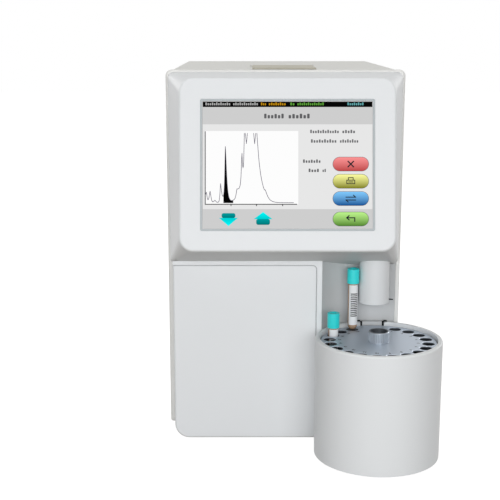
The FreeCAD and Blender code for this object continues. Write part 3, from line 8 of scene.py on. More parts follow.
import bpy
import numpy as np
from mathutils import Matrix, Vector


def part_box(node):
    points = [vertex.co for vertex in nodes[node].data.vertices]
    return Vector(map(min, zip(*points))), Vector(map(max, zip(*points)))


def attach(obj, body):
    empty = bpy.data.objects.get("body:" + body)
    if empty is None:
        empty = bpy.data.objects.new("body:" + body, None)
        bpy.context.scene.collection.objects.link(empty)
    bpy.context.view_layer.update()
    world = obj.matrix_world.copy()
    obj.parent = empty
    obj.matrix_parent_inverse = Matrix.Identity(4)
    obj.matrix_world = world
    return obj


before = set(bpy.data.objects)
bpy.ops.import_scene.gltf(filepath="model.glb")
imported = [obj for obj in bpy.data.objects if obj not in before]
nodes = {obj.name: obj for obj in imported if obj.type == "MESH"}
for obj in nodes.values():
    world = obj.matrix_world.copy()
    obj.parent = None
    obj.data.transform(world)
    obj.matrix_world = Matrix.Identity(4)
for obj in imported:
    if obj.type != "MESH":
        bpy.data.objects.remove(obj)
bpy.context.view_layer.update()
MM = 0.001


# --- Camera -----------------------------------------------------------------
# The camera stands a little above the head, square to the front of the cabinet,
# and looks down by the angle at which the drum's rim shows its ellipse.

camera = bpy.data.objects.new("camera", bpy.data.cameras.new("camera"))
bpy.context.scene.collection.objects.link(camera)
camera.location = (-0.07205, -1.54, 0.5641)
camera.rotation_euler = (math.radians(90 - 12.0), 0, math.radians(-0.045))
camera.data.lens = 74.9
camera.data.sensor_width = 36
camera.data.clip_start = 0.01
bpy.context.scene.camera = camera
bpy.context.scene.view_settings.view_transform = "Standard"


# --- Studio -----------------------------------------------------------------
# A plain pale floor under a white sky, with a wide lamp before the object, one
# over it and one behind each of its sides.

class Wire:
    """A socket of a shader. An expression on it, such as 1 - mask, adds Math nodes, and node() adds any other."""

    def __init__(self, tree, socket=None):
        self.tree, self.socket = tree, socket

    def node(self, kind, settings=None, out=0, **values):
        """Adds a node: its settings first, then a number, colour or wire for each socket.

        A socket is given by its name, with _ for a space, or by its place, as in0 or in1.
        """
        made = self.tree.nodes.new("ShaderNode" + kind)
        for name, value in (settings or {}).items():
            setattr(made, name, value)
        for name, value in values.items():
            key = int(name[2:]) if name[:2] == "in" and name[2:].isdigit() else name.replace("_", " ")
            if isinstance(value, Wire):
                self.tree.links.new(value.socket, made.inputs[key])
            else:
                made.inputs[key].default_value = value
        return Wire(self.tree, made.outputs[out] if made.outputs else None)

    def other(self, name):
        """Another output of the same node."""
        return Wire(self.tree, self.socket.node.outputs[name])

    def math(self, operation, *terms):
        """A Math node on wires and numbers."""
        return self.node("Math", dict(operation=operation), **{f"in{i}": term for i, term in enumerate(terms)})

    def __add__(self, other):
        return self.math("ADD", self, other)

    __radd__ = __add__

    def __sub__(self, other):
        return self.math("SUBTRACT", self, other)

    def __rsub__(self, other):
        return self.math("SUBTRACT", other, self)

    def __mul__(self, other):
        return self.math("MULTIPLY", self, other)

    __rmul__ = __mul__

    def mixed(self, low, high):
        """A colour between low and high, with this wire as the share of high."""
        low, high = (c if isinstance(c, Wire) else (*c, 1.0) for c in (low, high))
        return self.node("Mix", dict(data_type="RGBA"), out=2, in0=self, in6=low, in7=high)


def open_tree(owner):
    """An empty node tree of a material or a world."""
    owner.use_nodes = True
    owner.node_tree.nodes.clear()
    return Wire(owner.node_tree)


def backdrop_rays(tree):
    """1 for the rays that show the backdrop, straight or in metal and glass, and 0 for those that light things."""
    seen = tree.node("LightPath", out="Is Camera Ray")
    mirrored = tree.math("MAXIMUM", seen.other("Is Glossy Ray"), seen.other("Is Transmission Ray"))
    return tree.math("MAXIMUM", seen, mirrored)


sky_light, sky_tint = 0.22, (1.0, 0.975, 0.935)
sky = bpy.data.worlds.new("studio")
bpy.context.scene.world = sky
tree = open_tree(sky)
shown = backdrop_rays(tree)
light = tree.node("Background", Color=shown.mixed(sky_tint, (1, 1, 1)), Strength=shown * (1 - sky_light) + sky_light)
tree.node("OutputWorld", Surface=light)


def lamp(name, place, aim, width, height, power, colour=(1, 1, 1)):
    """A rectangular lamp at a place, turned to face the point that it aims at."""
    data = bpy.data.lights.new(name, "AREA")
    data.shape = "RECTANGLE"
    data.size, data.size_y, data.energy, data.color = width, height, power, colour
    made = bpy.data.objects.new(name, data)
    made.location = place
    made.rotation_euler = (Vector(aim) - Vector(place)).to_track_quat("-Z", "Y").to_euler()
    bpy.context.scene.collection.objects.link(made)


lamp("front_lamp", (-0.05, -2.6, 0.68), (0, -0.1, 0.26), 3.0, 1.3, 48.5, (0.98, 0.99, 1.0))
lamp("top_lamp", (-0.1, -0.2, 2.6), (0, 0, 0.3), 1.4, 1.4, 15)
lamp("left_rear_lamp", (-2.2, 1.8, 1.1), (0, 0.1, 0.26), 1.4, 1.2, 26)
lamp("right_rear_lamp", (2.2, 1.8, 1.1), (0, 0.1, 0.26), 1.4, 1.2, 22)

floor_reach, floor_grey, floor_glow = 8.0, (0.34, 0.33, 0.32, 1), 0.96
floor_corners = [(floor_reach * x, floor_reach * y, 0) for x, y in ((-1, -1), (1, -1), (1, 1), (-1, 1))]
floor_mesh = bpy.data.meshes.new("floor")
floor_mesh.from_pydata(floor_corners, [], [(0, 1, 2, 3)])
floor = bpy.data.objects.new("floor", floor_mesh)
bpy.context.scene.collection.objects.link(floor)
floor_finish = bpy.data.materials.new("floor_finish")
tree = open_tree(floor_finish)
paint = tree.node("BsdfDiffuse", Color=floor_grey)
glow = tree.node("Emission", Strength=backdrop_rays(tree) * floor_glow)
tree.node("OutputMaterial", Surface=tree.node("AddShader", in0=paint, in1=glow))
floor_mesh.materials.append(floor_finish)


# --- Painted sheet cabinet --------------------------------------------------
# A folded steel cover, the front frame that it slides under, the base pan and
# the rear panel: sheet steel with a fine textured powder coat.

def finish(name, roughness, metallic=0.0, **more):
    """A new material with one Principled shader; returns it with the shader's tree, ready for wires."""
    made = bpy.data.materials.new(name)
    tree = open_tree(made)
    shader = tree.node("BsdfPrincipled", Roughness=roughness, Metallic=metallic, **more)
    tree.node("OutputMaterial", Surface=shader)
    tree.shader = shader.socket.node
    return made, tree


def give(tree, **values):
    """Gives the shader of a finish a value or a wire for each socket named."""
    for name, value in values.items():
        socket = tree.shader.inputs[name.replace("_", " ")]
        if isinstance(value, Wire):
            tree.tree.links.new(value.socket, socket)
        else:
            socket.default_value = (*value, 1.0) if isinstance(value, tuple) else value


def tone(tree, place, colour, spread, scale):
    """The colour, with slow clouds in it that lighten and darken it by a share; and the clouds themselves."""
    clouds = tree.node("TexNoise", Vector=place, Scale=scale, Detail=3.0)
    dark, pale = (tuple(c * (1 + sign * spread) for c in colour) for sign in (-1, 1))
    return clouds.mixed(dark, pale), clouds


def bump(tree, height, depth, strength=1.0):
    """A normal that rises and falls with a height from 0 to 1, by a depth in metres."""
    return tree.node("Bump", Height=height, Distance=depth, Strength=strength)


def powder_coat(name, colour, roughness=0.5):
    """Baked powder: a pebbled skin about a millimetre across, with finer grain in it."""
    made, tree = finish(name, roughness)
    place = tree.node("TexCoord", out="Object")
    shade, clouds = tone(tree, place, colour, 0.02, 7.0)
    pebbles = tree.node("TexVoronoi", dict(feature="SMOOTH_F1"), Vector=place, Scale=900.0)
    grain = tree.node("TexNoise", Vector=place, Scale=2600.0, Detail=2.0)
    give(tree, Base_Color=shade, Roughness=clouds * 0.10 + (roughness - 0.05),
         Normal=bump(tree, pebbles * 0.7 + grain * 0.5, 0.00006, 0.6))
    return made


weld_distance, sharp_angle = 0.004 * MM, math.radians(28)


def dress(material, *names):
    """Gives CAD nodes a finish. Their loose triangles are welded and shaded smooth between real edges."""
    for name in names:
        node = nodes[name]
        for place in node.material_slots:
            place.material = material
        if not node.material_slots:
            node.data.materials.append(material)
        node.data.polygons.foreach_set("use_smooth", np.ones(len(node.data.polygons), bool))
        weld = node.modifiers.new("weld", "WELD")
        weld.merge_threshold = weld_distance
        split = node.modifiers.new("edges", "EDGE_SPLIT")
        split.split_angle = sharp_angle
        node.modifiers.new("even", "WEIGHTED_NORMAL").keep_sharp = True


chassis_paint = powder_coat("chassis_paint", (0.68, 0.68, 0.65))
frame_paint = powder_coat("frame_paint", (0.79, 0.79, 0.77))
dress(chassis_paint, "chassis_cover", "base_pan", "rear_panel")
dress(frame_paint, "chassis_frame")


# --- Rubber feet ------------------------------------------------------------
# Four screwed feet under the cabinet and four pads under the drum: moulded
# rubber with a dull, slightly dusty skin.

def rubber(name, colour):
    """Moulded rubber: clouds of dust over a fine dull grain."""
    made, tree = finish(name, 0.8)
    place = tree.node("TexCoord", out="Object")
    shade, clouds = tone(tree, place, colour, 0.25, 60.0)
    grain = tree.node("TexNoise", Vector=place, Scale=1800.0, Detail=3.0)
    give(tree, Base_Color=shade, Roughness=clouds * 0.2 + 0.68, Normal=bump(tree, grain, 0.00005, 0.5))
    return made


black_rubber = rubber("black_rubber", (0.028, 0.028, 0.030))
dress(black_rubber, "rubber_feet")


# --- White mouldings --------------------------------------------------------
# The head, the front panel, the door, the drum, the block in its rim and the
# needle guard: cast housings, sprayed with a satin white lacquer.

tray_low, tray_high = (np.array(corner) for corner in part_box("sample_tray"))
tray_middle, tray_top = (tray_low + tray_high) / 2, tray_high[2]


def from_axis(tree, place, middle, across=(1.0, 1.0, 0.0)):
    """Distance of a place from the axis through middle. The axis runs the way for which across holds 0."""
    centred = tree.node("VectorMath", dict(operation="SUBTRACT"), in0=place, in1=tuple(middle))
    flat = tree.node("VectorMath", dict(operation="MULTIPLY"), in0=centred, in1=across)
    return tree.node("VectorMath", dict(operation="LENGTH"), out="Value", in0=flat)


def lacquer(name, colour, roughness=0.46, lining=None, reach=0.0, below=1.0, underside_shade=None):
    """Sprayed lacquer: a very shallow orange peel with a low sheen.

    A second colour paints shade on what lies nearer to the carousel's axis than reach, and below a height.
    Faces that look down are painted darker, as shade: their colour goes over to a painted shade grey, and has
    reached it where they look down by 45 degrees.
    """
    made, tree = finish(name, roughness, Specular_IOR_Level=0.22)
    place = tree.node("TexCoord", out="Object")
    shade, clouds = tone(tree, place, colour, 0.008, 5.0)
    if underside_shade:
        upward = tree.node("SeparateXYZ", out="Z", Vector=tree.node("TexCoord", out="Normal"))
        looks_down = tree.math("MINIMUM", tree.math("MAXIMUM", upward * -1.4, 0.0), 1.0)
        shade = looks_down.mixed(shade, underside_shade)
    if lining:
        low_enough = tree.math("LESS_THAN", tree.node("SeparateXYZ", out="Z", Vector=place), below)
        inside = tree.math("LESS_THAN", from_axis(tree, place, tray_middle), reach) * low_enough
        shade = inside.mixed(shade, lining)
    peel = tree.node("TexNoise", Vector=place, Scale=420.0, Detail=2.0)
    speck = tree.node("TexNoise", Vector=place, Scale=3000.0, Detail=1.0)
    give(tree, Base_Color=shade, Roughness=clouds * 0.06 + (roughness - 0.03),
         Normal=bump(tree, peel * 0.8 + speck * 0.4, 0.00003, 0.35))
    return made


# Painted shade: on the head and the door, faces that look down turn to a grey that stands for their shade.
head_white, head_underside_shade = (0.80, 0.818, 0.834), (0.575, 0.575, 0.565)
# Painted shade: the alcove wall round the carousel, and the whole block in the drum's rim, take a grey that stands
# for the shade in the alcove.
alcove_painted_shade, alcove_reach = (0.55, 0.56, 0.565), 87.25 * MM
# Painted shade: inside the drum and below the tray, the wall is near black and stands for the shade seen through the
# tray's holes.
drum_white, drum_inside_shade, drum_reach, drum_shade = (0.79, 0.807, 0.818), (0.11, 0.12, 0.135), 78.2 * MM, 1.5 * MM
white_lacquer = lacquer("white_lacquer", head_white, underside_shade=head_underside_shade)
panel_lacquer = lacquer("panel_lacquer", head_white, lining=alcove_painted_shade, reach=alcove_reach)
block_shaded_lacquer = lacquer("block_shaded_lacquer", alcove_painted_shade)
# Painted shade: the needle guard's white is a little darker than the head's, standing for the shade that falls on it.
guard_shaded_lacquer = lacquer("guard_shaded_lacquer", (0.735, 0.75, 0.76))
drum_lacquer = lacquer("drum_lacquer", drum_white, lining=drum_inside_shade, reach=drum_reach, below=tray_top - drum_shade)
dress(white_lacquer, "head_shell", "door")
dress(guard_shaded_lacquer, "needle_guard")
dress(panel_lacquer, "front_panel")
dress(block_shaded_lacquer, "rim_block")
dress(drum_lacquer, "drum_shell")


# --- Screen -----------------------------------------------------------------
# A touch glass in a blue-grey rim, over a lit display. The picture is a film of
# flat shapes just in front of the glass: bands, a trace, buttons and arrows.

def moulded(name, colour, roughness=0.5, grain_depth=0.00004):
    """Injection moulding from a spark-eroded tool: an even, fine, matte grain."""
    made, tree = finish(name, roughness)
    place = tree.node("TexCoord", out="Object")
    shade, clouds = tone(tree, place, colour, 0.03, 12.0)
    grain = tree.node("TexNoise", Vector=place, Scale=2200.0, Detail=3.0)
    give(tree, Base_Color=shade, Roughness=clouds * 0.12 + (roughness - 0.06),
         Normal=bump(tree, grain, grain_depth, 0.6))
    return made


rim_plastic = moulded("rim_plastic", (0.45, 0.49, 0.51), 0.5)
grey_plastic = moulded("grey_plastic", (0.42, 0.43, 0.44))
black_plastic = moulded("black_plastic", (0.03, 0.032, 0.035), 0.45)
dress(rim_plastic, "screen_rim")
dress(black_plastic, "display_module")

glass_finish, tree = finish("touch_glass_finish", 0.12, Coat_Roughness=0.05)
place = tree.node("TexCoord", out="Object")
shade, clouds = tone(tree, place, (0.10, 0.11, 0.115), 0.05, 20.0)
give(tree, Base_Color=shade, Roughness=clouds * 0.04 + 0.10, Coat_Weight=0.5)
dress(glass_finish, "touch_glass")

# The glass is a thin slab, tilted back: its length along the face follows from the box that it fills.
tilt = math.radians(12)
low, high = (np.array(corner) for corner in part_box("touch_glass"))
rise, depth = high[2] - low[2], high[1] - low[1]
glass_length = (rise * math.cos(tilt) - depth * math.sin(tilt)) / math.cos(2 * tilt)
glass_width = high[0] - low[0]
glass_top = np.array([low[0], low[1] + glass_length * math.sin(tilt), high[2]])
glass_up = np.array([0, math.sin(tilt), math.cos(tilt)])
glass_out = np.array([0, -math.cos(tilt), math.sin(tilt)])
glass_corner = glass_top - glass_up * glass_length
film_gap, film_step = 0.05 * MM, 0.015 * MM

picture_points, picture_faces, picture_tints = [], [], []


def srgb(red, green, blue):
    """A screen colour, from 0 to 255, as the linear numbers that a shader takes."""
    share = np.array([red, green, blue]) / 255
    return np.where(share <= 0.04045, share / 12.92, ((share + 0.055) / 1.055) ** 2.4)


def film(outline, level, low_tint, high_tint=None):
    """A flat shape on the picture, in millimetres from the glass's lower left corner.

    A fan from the middle of the outline; the tint runs from low_tint at its foot to high_tint at its top.
    """
    outline = np.asarray(outline, float)
    outline = np.vstack([outline.mean(axis=0), outline])
    height = outline[:, 1]
    share = ((height - height.min()) / max(np.ptp(height), 1e-6))[:, None]
    high_tint = low_tint if high_tint is None else high_tint
    tints = srgb(*low_tint) * (1 - share) + srgb(*high_tint) * share
    first = sum(len(p) for p in picture_points)
    count = len(outline) - 1
    ring = np.arange(count)
    picture_faces.append(np.stack([np.zeros(count, int), ring + 1, (ring + 1) % count + 1], 1) + first)
    picture_points.append(glass_corner + outline[:, :1] * MM * [1, 0, 0] + outline[:, 1:] * MM * glass_up
                          + glass_out * (film_gap + level * film_step))
    picture_tints.append(tints)


def panel(left, right, foot, top, level, *tints, corner=0.0):
    """A rectangle with round corners of a radius, as an outline of quarter circles."""
    corner = max(corner, 0.01)
    turn = np.radians(np.arange(0, 91, 9))
    quarters = [(right - corner, top - corner, 0), (left + corner, top - corner, 90),
                (left + corner, foot + corner, 180), (right - corner, foot + corner, 270)]
    outline = [np.stack([x + corner * np.cos(turn + math.radians(a)), y + corner * np.sin(turn + math.radians(a))], 1)
               for x, y, a in quarters]
    film(np.vstack(outline), level, *tints)


def stroke(points, width, level, tint):
    """A line of constant width through points: one rectangle to each run."""
    points = np.asarray(points, float)
    for a, b in zip(points[:-1], points[1:]):
        run = (b - a) / max(np.hypot(*(b - a)), 1e-9)
        side = np.array([-run[1], run[0]]) * width / 2
        end = run * width / 2
        film([a - side - end, b - side + end, b + side + end, a + side - end], level, tint)


ink, faint = (40, 42, 48), (98, 92, 110)
screen_high, screen_wide = glass_length / MM, glass_width / MM
status_foot, title_foot, band_top, margin = 153.6, 131.8, 24.9, 0.6
panel(0, screen_wide, 0, screen_high, 0, (207, 207, 207), corner=0.3)
panel(margin, screen_wide - margin, status_foot, screen_high - margin, 1, (6, 6, 6))
panel(margin, screen_wide - margin, band_top, title_foot, 1, (232, 232, 232))


def greeked(left, foot, size, lengths, tint, level=3):
    """Words that can't be read: for each letter a small block, low or tall in turn, and a gap after each word.

    The lengths are those of the words, in millimetres.
    """
    for word, length in enumerate(lengths):
        count = max(round(length / (size * 0.72)), 1)
        pitch = length / count
        for k in range(count):
            tall = size * (1.0, 0.72, 0.72, 0.94, 0.72, 1.0, 0.72)[(k + 2 * word) % 7]
            panel(left + k * pitch, left + (k + 0.68) * pitch, foot, foot + tall, level, tint, corner=size * 0.16)
        left += length + size * 0.8


status_line, status_size, title_size, text_size = 155.8, 3.6, 6.0, 4.4
text_grey, unit_grey = (112, 112, 114), (108, 108, 110)
greeked(4.0, status_line, status_size, (32, 32), (172, 172, 172))
greeked(74.0, status_line, status_size, (7, 22), (196, 140, 16))
greeked(111.0, status_line, status_size, (6, 34), (92, 160, 58))
greeked(183.0, status_line, status_size, (21,), (96, 166, 170))
greeked(78.0, 139.2, title_size, (26, 28), (96, 96, 98))
greeked(136.0, 120.6, text_size, (37, 17), text_grey)
greeked(137.0, 108.6, text_size, (33, 24), text_grey)
greeked(127.0, 83.2, text_size, (23,), unit_grey)
greeked(134.0, 71.6, text_size, (14, 5), unit_grey)

chart_left, chart_right, chart_foot, chart_top = 3.7, 121.0, 31.0, 123.4
panel(chart_left, chart_right, chart_foot, chart_top, 2, (254, 254, 254))
stroke([(chart_left, chart_top - 1), (chart_left, chart_foot), (chart_right - 2, chart_foot)], 1.1, 4, (64, 64, 64))
for tick in (36.2, 68.3, 101.3):
    stroke([(tick, chart_foot), (tick, chart_foot - 1.8)], 1.1, 4, (56, 56, 56))

# Each peak: its place and height, and its width on the near and on the far side.
peaks = [(5.2, 13.0, 3.0, 1.2), (9.8, 14.5, 1.6, 1.5), (16.0, 3.0, 2.0, 1.6), (23.0, 22.5, 0.9, 1.6),
         (29.0, 58.0, 0.85, 1.9), (29.6, 14.0, 4.0, 3.6), (43.6, 9.0, 1.2, 3.0), (49.9, 34.0, 0.9, 0.9),
         (53.9, 190.0, 0.75, 9.0), (64.0, 190.0, 9.0, 3.2), (70.0, 34.0, 6.0, 8.0), (79.5, 4.0, 1.0, 3.0)]


def trace_height(along):
    """Height of the trace: a sum of peaks, each falling off as exp(-(d / width) ** 1.4), wider after its top."""
    height = np.zeros_like(along)
    for centre, tall, before, after in peaks:
        offset = along - centre
        width = np.where(offset < 0, before, after)
        height += tall * np.exp(-(np.abs(offset) / width) ** 1.4)
    return height


trace_top = chart_top - 3
along = np.linspace(chart_left + 0.6, chart_right - 6, 260)
height = chart_foot + 2.0 + trace_height(along)
in_chart = height < trace_top
for k in range(len(along) - 1):
    if in_chart[k] or in_chart[k + 1]:
        ends = np.minimum(height[k:k + 2], trace_top)
        stroke([(along[k], ends[0]), (along[k + 1], ends[1])], 0.75, 5, faint)
for dip in (55.6, 66.0):
    stroke([(dip - 1.3, trace_top), (dip, trace_top - 13), (dip + 1.3, trace_top)], 0.7, 5, faint)
peak, peak_foot = np.linspace(26.6, 39.0, 60), chart_foot + 1.6
tall = peak_foot + trace_height(peak)
for k in range(len(peak) - 1):
    near, far = peak[k:k + 2]
    film([(near, peak_foot), (far, peak_foot), (far, tall[k + 1]), (near, tall[k])], 6, (4, 4, 4))

button_left, button_right, button_high, button_edge = 164.8, 209.5, 17.2, 0.5
buttons = [(73.1, (190, 70, 70), (255, 150, 150)), (51.4, (128, 128, 20), (255, 255, 160)),
           (29.6, (10, 80, 150), (130, 203, 255)), (3.8, (80, 132, 42), (190, 246, 140))]
for foot, low_tint, high_tint in buttons:
    panel(button_left - button_edge, button_right + button_edge, foot - button_edge, foot + button_high + button_edge,
          2, (90, 90, 96), corner=9.0)
    panel(button_left, button_right, foot, foot + button_high, 3, low_tint, high_tint, corner=8.5)


def pictogram(centre_x, centre_y, lines, width=1.3):
    """A small sign of dark strokes, each given from its own middle."""
    for line in lines:
        stroke([(centre_x + x, centre_y + y) for x, y in line], width, 5, ink)


button_middle = (button_left + button_right) / 2
levels = [foot + button_high / 2 for foot, _, _ in buttons]
pictogram(button_middle, levels[0], [[(-3.4, -3.4), (3.4, 3.4)], [(-3.4, 3.4), (3.4, -3.4)]], 1.6)
pictogram(button_middle, levels[1], [[(-5, 1.4), (5, 1.4), (5, -3), (-5, -3), (-5, 1.4)],
                                     [(-3, 1.4), (-3, 4.6), (3, 4.6), (3, 1.4)], [(-2.6, -0.8), (2.6, -0.8)]], 1.0)
pictogram(button_middle, levels[2], [[(-6, 1.8), (6, 1.8), (3.4, 4.2)], [(6, -1.8), (-6, -1.8), (-3.4, -4.2)]], 1.2)
pictogram(button_middle, levels[3], [[(5, -2.8), (5, 1.6), (-5, 1.6)], [(-2.2, 4.2), (-5.2, 1.6), (-2.2, -1.0)]], 1.4)

arrow_half, stem_half = 11.9, 8.7
deep_cyan, bright_cyan = (0, 205, 208), (0, 255, 255)
for centre, way in ((33.0, -1), (76.6, 1)):
    waist, tip, tail = 13.1 - way * 0.8, 12.4 + way * 8.9, 12.5 - way * 7.2
    foot, top = sorted((waist, tail))
    panel(centre - stem_half, centre + stem_half, foot - 0.2, top + 0.2, 3, (0, 116, 118), (0, 158, 160), corner=2.6)
    outline = [(centre - arrow_half, waist), (centre + arrow_half, waist), (centre, tip)]
    film(outline[::way], 4, *(deep_cyan, bright_cyan)[::way])


def new_mesh(name, points, faces):
    """An object at the origin whose mesh has these points, in metres, and faces."""
    mesh = bpy.data.meshes.new(name)
    mesh.from_pydata(np.asarray(points, float).tolist(), [], [list(map(int, face)) for face in faces])
    mesh.validate()
    made = bpy.data.objects.new(name, mesh)
    bpy.context.scene.collection.objects.link(made)
    return made


picture = new_mesh("screen_picture", np.vstack(picture_points), np.vstack(picture_faces))
tints = picture.data.attributes.new("tint", "FLOAT_COLOR", "POINT")
picture_tint = np.vstack(picture_tints)
tints.data.foreach_set("color", np.hstack([picture_tint, np.ones((len(picture_tint), 1))]).astype(np.float32).ravel())
lit_film, tree = finish("lit_film", 0.5, Emission_Strength=0.99, Specular_IOR_Level=0.0)
give(tree, Base_Color=(0.0, 0.0, 0.0), Emission_Color=tree.node("Attribute", dict(attribute_name="tint")))
picture.data.materials.append(lit_film)
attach(picture, "root")


# --- Fluid compartment ------------------------------------------------------
# Behind the door: a painted liner with the pump, the injection valve, the
# column in its oven and a drip tray.

def bare_metal(name, colour, roughness=0.3, stretch=(1, 1, 1), marks=0.00001, spread=0.04):
    """Machined or rolled metal: fine marks, stretched along the way that the tool ran."""
    made, tree = finish(name, roughness, metallic=1.0)
    place = tree.node("TexCoord", out="Object")
    along = tree.node("Mapping", Vector=place, Scale=stretch)
    shade, clouds = tone(tree, place, colour, spread, 40.0)
    lines = tree.node("TexNoise", Vector=along, Scale=900.0, Detail=3.0)
    give(tree, Base_Color=shade, Roughness=lines * 0.16 + (roughness - 0.08), Normal=bump(tree, lines, marks, 0.5))
    return made


compartment_paint = powder_coat("compartment_paint", (0.58, 0.59, 0.60), 0.45)
ground_steel = bare_metal("ground_steel", (0.50, 0.51, 0.52), 0.28)
milled_aluminium = bare_metal("milled_aluminium", (0.46, 0.47, 0.48), 0.44, stretch=(0.08, 1, 1))
dress(compartment_paint, "compartment")
dress(milled_aluminium, "column_oven", "pump_unit")
dress(ground_steel, "column", "injection_valve")
dress(black_plastic, "purge_knob")
dress(grey_plastic, "drip_tray")


# --- Door fittings ----------------------------------------------------------
# The hinge arms and the catch of the door: pressed steel, zinc plated, with the
# cloudy spangle of the plating.

def zinc_plate(name, colour):
    """Zinc plating: flakes of spangle, each a little lighter or darker and smoother or duller."""
    made, tree = finish(name, 0.38, metallic=1.0)
    place = tree.node("TexCoord", out="Object")
    flakes = tree.node("TexVoronoi", Vector=place, Scale=160.0).other("Color")
    level = tree.node("SeparateColor", Color=flakes)
    dark, pale = (tuple(c * k for c in colour) for k in (0.9, 1.08))
    give(tree, Base_Color=level.mixed(dark, pale), Roughness=level * 0.16 + 0.30)
    return made


zinc_steel = zinc_plate("zinc_steel", (0.50, 0.51, 0.52))
dress(zinc_steel, "door_hinges", "door_catch")


# --- Door seal --------------------------------------------------------------
# A grey foam cord lies in the seam round the door's top and right side, carried
# along it as a small section; a web rounds the opening's corner behind it.

def seam_cord(path, half_width, half_depth):
    """A cord whose section is a super-ellipse, |u / half_width| ** 4 + |v / half_depth| ** 4 = 1.

    The section is set at each point of the path, across the bisector of the two runs that meet there.
    """
    path = np.asarray(path, float)
    runs = np.diff(path, axis=0)
    runs /= np.linalg.norm(runs, axis=1)[:, None]
    ways = np.vstack([runs[:1], runs[:-1] + runs[1:], runs[-1:]])
    ways /= np.linalg.norm(ways, axis=1)[:, None]
    across = np.stack([ways[:, 2], np.zeros(len(ways)), -ways[:, 0]], 1)
    stretch = np.ones(len(path))
    stretch[1:-1] = 1 / np.einsum("ij,ij->i", ways[1:-1], runs[:-1])
    turn = np.linspace(0, 2 * math.pi, 16, endpoint=False)
    u = half_width * np.sign(np.cos(turn)) * np.abs(np.cos(turn)) ** 0.5
    v = half_depth * np.sign(np.sin(turn)) * np.abs(np.sin(turn)) ** 0.5
    points = path[:, None, :] + across[:, None, :] * (stretch[:, None] * u)[..., None]
    points[..., 1] += v
    count = len(turn)
    index = np.arange(len(path) * count).reshape(len(path), count)
    around = np.roll(index, -1, axis=1)
    faces = np.stack([index[:-1], index[1:], around[1:], around[:-1]], -1).reshape(-1, 4).tolist()
    faces += [index[0].tolist(), index[-1][::-1].tolist()]
    return points.reshape(-1, 3), faces


foam_grey, tree = finish("foam_grey", 0.9)
place = tree.node("TexCoord", out="Object")
shade, clouds = tone(tree, place, (0.50, 0.51, 0.52), 0.06, 300.0)
cells = tree.node("TexVoronoi", Vector=place, Scale=2400.0)
give(tree, Base_Color=shade, Normal=bump(tree, cells, 0.00008, 0.5))
door_low, door_high = (np.array(corner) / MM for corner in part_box("door"))
seam, seam_depth, seam_corner, seam_left, seam_foot = 1.2, 1.6, 6.1, 2.0, 1.0
cord_clearance, cord_half_depth = 0.08, 0.5
seam_x, seam_z = door_high[0] + seam / 2, door_high[2] + seam / 2
bend = np.radians(np.arange(90, -1, -10))
seam_path = [(door_low[0] + seam_left, door_low[1] + seam_depth, seam_z)]
seam_path += [(seam_x - seam_corner + seam_corner * math.cos(a), door_low[1] + seam_depth,
               seam_z - seam_corner + seam_corner * math.sin(a)) for a in bend]
seam_path += [(seam_x, door_low[1] + seam_depth, door_low[2] + seam_foot)]
seal_points, seal_faces = seam_cord(seam_path, seam / 2 - cord_clearance, cord_half_depth)
seal = new_mesh("door_seal", seal_points * MM, seal_faces)
seal.data.materials.append(foam_grey)
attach(seal, "root")


def corner_web(centre, radius, front, back):
    """Fills a square corner round an arc: a grid over the turn and over four edges of the section.

    At the turn a the arc lies at radius * (cos a, sin a) and the corner's outline at that over max(cos a, sin a).
    """
    turn = np.radians(np.linspace(0, 90, 13))
    arc = np.stack([np.cos(turn), np.sin(turn)], 1)
    square = arc / arc.max(axis=1)[:, None]
    rings = [(arc, front), (square, front), (square, back), (arc, back)]
    points = np.stack([np.insert(np.array(centre) + radius * flat, 1, depth, axis=1) for flat, depth in rings], 1)
    index = np.arange(len(turn) * 4).reshape(-1, 4)
    around = np.roll(index, -1, axis=1)
    faces = np.stack([index[:-1], index[1:], around[1:], around[:-1]], -1).reshape(-1, 4).tolist()
    return points.reshape(-1, 3), faces


web_depth, web_gap = 6.0, 0.02
web_points, web_faces = corner_web((seam_x - seam_corner, seam_z - seam_corner), seam_corner + seam / 2 - web_gap,
                                   door_low[1] + web_gap, door_low[1] + web_depth)
web = new_mesh("seam_corner", web_points * MM, web_faces)
web.data.materials.append(white_lacquer)
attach(web, "root")


# --- Needle drive -----------------------------------------------------------
# Under the head: a milled bracket with two ground rods, a carriage on a lead
# screw, its stepper motor, and the hollow needle.

dress(milled_aluminium, "needle_bracket", "needle_carriage")
dress(ground_steel, "guide_rods", "lead_screw", "sampling_needle")
motor_black = powder_coat("motor_black", (0.045, 0.045, 0.05), 0.45)
dress(motor_black, "needle_motor")


# --- Sample carousel --------------------------------------------------------
# A turned tray with numbered holes and a fluted knob: blue-grey aluminium with
# fine turning rings. Under it a black rack on a spindle, bearing and motor.

def turned_metal(name, colour, roughness, depth, hollow=0.0, under=0.0, grooved=0.0):
    """Turned and anodised metal: rings about the carousel's axis, as noise read along the distance from it.

    What lies nearer to the axis than hollow, or lower than under, is painted in deep shade: the knob's hollow top,
    the tray's holes and underside. Nearer than grooved it lies in the grooves, painted a little darker as shade.
    """
    made, tree = finish(name, roughness, metallic=0.6)
    place = tree.node("TexCoord", out="Object")
    reach = from_axis(tree, place, tray_middle)
    rings = tree.node("TexNoise", dict(noise_dimensions="1D"), W=reach, Scale=2600.0, Detail=2.0)
    shade, clouds = tone(tree, place, colour, 0.03, 14.0)
    sunk = tree.math("LESS_THAN", tree.node("SeparateXYZ", out="Z", Vector=place), under)
    deep = tree.math("MAXIMUM", tree.math("LESS_THAN", reach, hollow), sunk)
    shade = tree.math("LESS_THAN", reach, grooved).mixed(shade, tuple(c * 0.72 for c in colour))
    shade = deep.mixed(shade, tuple(c * 0.3 for c in colour))
    give(tree, Base_Color=shade, Roughness=clouds * 0.08 + rings * 0.06 + (roughness - 0.07),
         Normal=bump(tree, rings, depth, 0.5))
    return made
